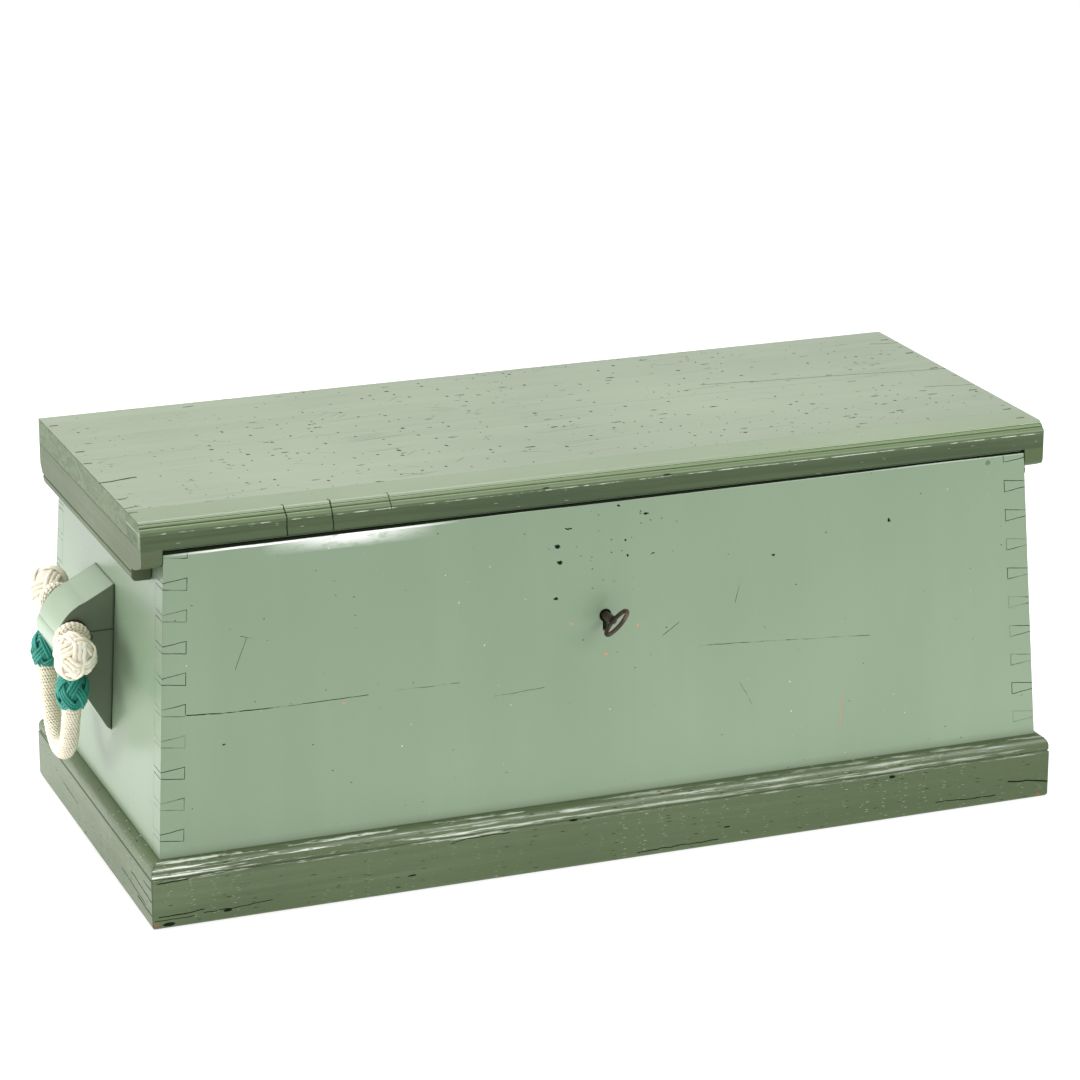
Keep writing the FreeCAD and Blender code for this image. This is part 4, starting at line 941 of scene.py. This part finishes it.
def knotCourse(leads, bights, steps):
    # a Turk's head's single strand: angle round, height from -1 to 1, and over or under
    course = []
    for i in range(steps):
        t = 2 * math.pi * i / steps
        course.append([leads * t, math.cos(bights * t), 0.0])
    crossings = []
    for i in range(steps):
        for j in range(i + 2, steps):
            if i == 0 and j == steps - 1:
                continue
            di = course[(i + 1) % steps][1] - course[i][1]
            dj = course[(j + 1) % steps][1] - course[j][1]
            gapHere = course[i][0] - course[j][0]
            gapHere -= 2 * math.pi * round(gapHere / (2 * math.pi))
            if abs(gapHere) > 0.5 * leads * 2 * math.pi / steps:
                continue
            if abs(course[i][1] - course[j][1]) < (abs(di) + abs(dj)) * 0.55 + 1e-9 and di * dj < 0:
                crossings.append((i, j))
    marks = sorted({i for pair in crossings for i in pair})
    return course, marks


def weave(course, marks):
    # alternate over and under at each crossing, eased between them
    count = len(course)
    if not marks:
        return [0.0] * count
    heights = []
    for i in range(count):
        after = next((n for n, m in enumerate(marks) if m >= i), 0)
        low = marks[after - 1]
        high = marks[after]
        wide = (high - low) % count or count
        share = ((i - low) % count) / wide
        a = 1.0 if (after - 1) % 2 == 0 else -1.0
        heights.append(a * math.cos(math.pi * share))
    return heights


def knotStrands(name, turns, yarn, lift, placeOn, finish, core, middleOfCore):
    # strands laid side by side along the course, on the surface that placeOn gives
    leads, bights, plies = turns
    course, marks = knotCourse(leads, bights, 60 * bights)
    heights = weave(course, marks)
    middle = [placeOn(turn, high, heights[i] * lift) for i, (turn, high, _) in enumerate(course)]
    strands = []
    count = len(middle)
    for ply in range(plies):
        offset = (ply - (plies - 1) / 2) * yarn * 1.94
        line = []
        for i in range(count):
            point, normal = middle[i]
            way = (middle[(i + 1) % count][0] - middle[i - 1][0]).normalized()
            line.append(point + normal.cross(way).normalized() * offset)
        spaced, _ = evenly(smoothed(line), yarn * 0.55, closed=True)

        def radiusAt(i, k, phase=ply):
            twist = math.sin(2 * math.pi * (i / 4.6 + 2 * k / 12) + phase)
            return yarn * (1 + 0.085 * twist)

        # the sides of a strand that face in towards the knot's middle take painted shade
        def shadeInGrooveAt(i, k, point, out):
            outward = (point - middleOfCore).normalized()
            return 1 - min(1.0, max(0.0, (out.dot(outward) + 0.02) / 0.36))
        strands.append(skin(name + "Strand", spaced, 12, radiusAt, shadeInGrooveAt, closed=True))
    return joined(name, strands + [core], finish)


def smoothed(line):
    count = len(line)
    return [(line[i - 1] + line[i] * 2 + line[(i + 1) % count]) / 4 for i in range(count)]


def makeCord(name, colour, shade, groove, rough):
    finish, shader, coord = newFinish(name)
    shadeInGroove = coord.add("ShaderNodeAttribute", {"attribute_name": "shadeInGroove"}, None, 2)
    fibre = coord.noise(900.0, 3.0, 0.7)
    cloud = coord.noise(60.0, 2.0)
    mixed = cloud.span(0.35, 0.7).tint(tone(*shade), tone(*colour))
    uneven = coord.noise(150.0, 3.0, 0.6).span(0.36, 0.56) * 0.7 + 0.3
    mixed = layered(mixed, [(fibre.span(0.45, 0.75) * 0.35, shade),
                            # darker in the grooves, as painted shade
                            (shadeInGroove.span(0.1, 1.0) * uneven * 0.9, groove)])
    connect(shader, {"Base Color": mixed, "Roughness": fibre * 0.15 + rough,
                     "Sheen Weight": 0.15, "Normal": bump(fibre, 0.5, 0.0004)})
    return finish


creamCord, whiteCord, greenCord = (makeCord(name, *look) for name, look in cords.items())


def knobSurface(middle, radii, pole, gapAngle):
    # a point on the knob for an angle round its pole and a height between its ends
    upright = Vector(pole).normalized().to_track_quat("Z", "Y")

    def placeOn(turn, high, lift):
        polar = math.pi / 2 - high * (math.pi / 2 - gapAngle)
        ball = Vector((math.sin(polar) * math.cos(turn), math.sin(polar) * math.sin(turn),
                       math.cos(polar)))
        way = upright @ ball
        point = Vector((way.x * radii[0], way.y * radii[1], way.z * radii[2]))
        normal = Vector((way.x / radii[0], way.y / radii[1], way.z / radii[2])).normalized()
        return Vector(middle) + point + normal * lift, normal
    return placeOn


def headSurface(middle, way, half, radius):
    # the same for a Turk's head round the loop, a little fuller in the middle
    upright = way.to_track_quat("Z", "Y")

    def placeOn(turn, high, lift):
        bulge = radius * (1 - 0.24 * high * high) + lift
        point = upright @ Vector((math.cos(turn) * bulge, math.sin(turn) * bulge, high * half))
        normal = upright @ Vector((math.cos(turn), math.sin(turn), 0.45 * high)).normalized()
        return Vector(middle) + point, normal
    return placeOn


def ballCore(name, middle, radii):
    # the filling under a knot, seen only between its strands
    deselect()
    bpy.ops.mesh.primitive_uv_sphere_add(segments=32, ring_count=18, radius=1, location=(0, 0, 0))
    core = bpy.context.object
    core.name = name
    mesh = core.data
    mesh.transform(Matrix.Translation(Vector(middle)) @ Matrix.Diagonal((*radii, 1)))
    # the core takes a fixed share of painted shade
    smoothAndShadeGrooves(mesh, [0.35] * len(mesh.vertices))
    return core


def fitBecket(piece, part, side):
    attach(piece, "becket_" + side)
    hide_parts("becket_" + part + "_" + side)


def makeBecket(side):
    look = beckets
    turnOver = side == "right"

    def place(point):
        # the right-hand becket is the left one turned half round
        x, y, z = point
        return Vector((-x, 2 * look["middle"][1] - y, z)) if turnOver else Vector(point)

    gap = look["step"]
    line = smoothLine("loopLine", [place(p) for p in look["route"]])
    spaced, length = evenly(line, gap)
    loop = skin("becketLoop_" + side, spaced, 96, *hitched(look, look["loopRadius"], 96, gap))
    loop.data.materials.append(creamCord)
    fitBecket(loop, "loop", side)

    tilt = Vector(look["tilt"])
    hole = Vector(look["middle"])
    eyes = []
    angles = [2 * math.pi * n / 200 for n in range(200)]
    for way in (-1, 1):
        centre = hole + tilt * (way * look["eyeSpread"] / tilt.y) + Vector((0, 0, look["eyeUp"]))
        ring = [place(centre + Vector((math.cos(a), 0, math.sin(a))) * look["eyeRadius"])
                for a in angles]
        ring, _ = evenly(ring, gap, closed=True)
        eyes.append(skin("eye", ring, 64, *hitched(look, look["eyeThick"], 64, gap), closed=True))
    eyePiece = joined("becketEyes_" + side, eyes, creamCord)
    fitBecket(eyePiece, "eyes", side)

    # the rope through the hole, laid up of three strands
    start, end = place(hole - tilt), place(hole + tilt)
    axis = (end - start).normalized()
    across = axis.orthogonal().normalized()
    upward = axis.cross(across)
    strands = []
    for n in range(3):
        course = []
        for i in range(look["laySteps"] + 1):
            share = i / look["laySteps"]
            turn = 2 * math.pi * (n / 3 + share * look["layTurns"])
            course.append(start.lerp(end, share)
                          + (across * math.cos(turn) + upward * math.sin(turn)) * look["layRadius"])
        # each strand takes a fixed share of painted shade
        strands.append(skin("strand", course, 16, lambda i, k: look["layThick"],
                            lambda i, k, point, out: look["layShadeInGroove"]))
    through = joined("becketRope_" + side, strands, creamCord)
    fitBecket(through, "rope", side)

    knobs = []
    radii = look["knobRadii"]
    for way, pole in zip((-1, 1), look["knobPoles"]):
        centre = place(hole + tilt * way + Vector((-look["knobOut"], 0, look["knobUp"])))
        if turnOver:
            pole = (-pole[0], -pole[1], pole[2])
        core = ballCore("knobCore", centre, [r + 0.0002 for r in radii])
        surface = knobSurface(centre, radii, pole, look["knobOpening"])
        knobs.append(knotStrands("knob", look["knobTurns"], look["knobYarn"], look["knobLift"],
                                 surface, whiteCord, core, centre))
    knobPiece = joined("becketKnobs_" + side, knobs, whiteCord)
    fitBecket(knobPiece, "knobs", side)

    heads = []
    for centre in look["headMiddles"]:
        centre = place(centre)
        nearest = min(range(len(spaced)), key=lambda i: (spaced[i] - centre).length)
        way = (spaced[nearest + 4] - spaced[nearest - 4]).normalized()
        onLine = spaced[nearest]
        thick = look["headRadius"] - look["headCoreInset"]
        core = ballCore("headCore", (0, 0, 0), (thick, thick, look["headHalf"]))
        upright = way.to_track_quat("Z", "Y").to_matrix().to_4x4()
        core.data.transform(Matrix.Translation(onLine) @ upright)
        surface = headSurface(onLine, way, look["headHalf"] - look["headInset"], look["headRadius"])
        heads.append(knotStrands("head", look["headTurns"], look["headYarn"], look["headLift"],
                                 surface, greenCord, core, onLine))
    headPiece = joined("becketHeads_" + side, heads, greenCord)
    fitBecket(headPiece, "heads", side)
    tuple(place(look["route"][0]))
    [tuple(p) for p in line]
    print("becket", side, "done, loop length", round(length, 4))


makeBecket("left")
makeBecket("right")
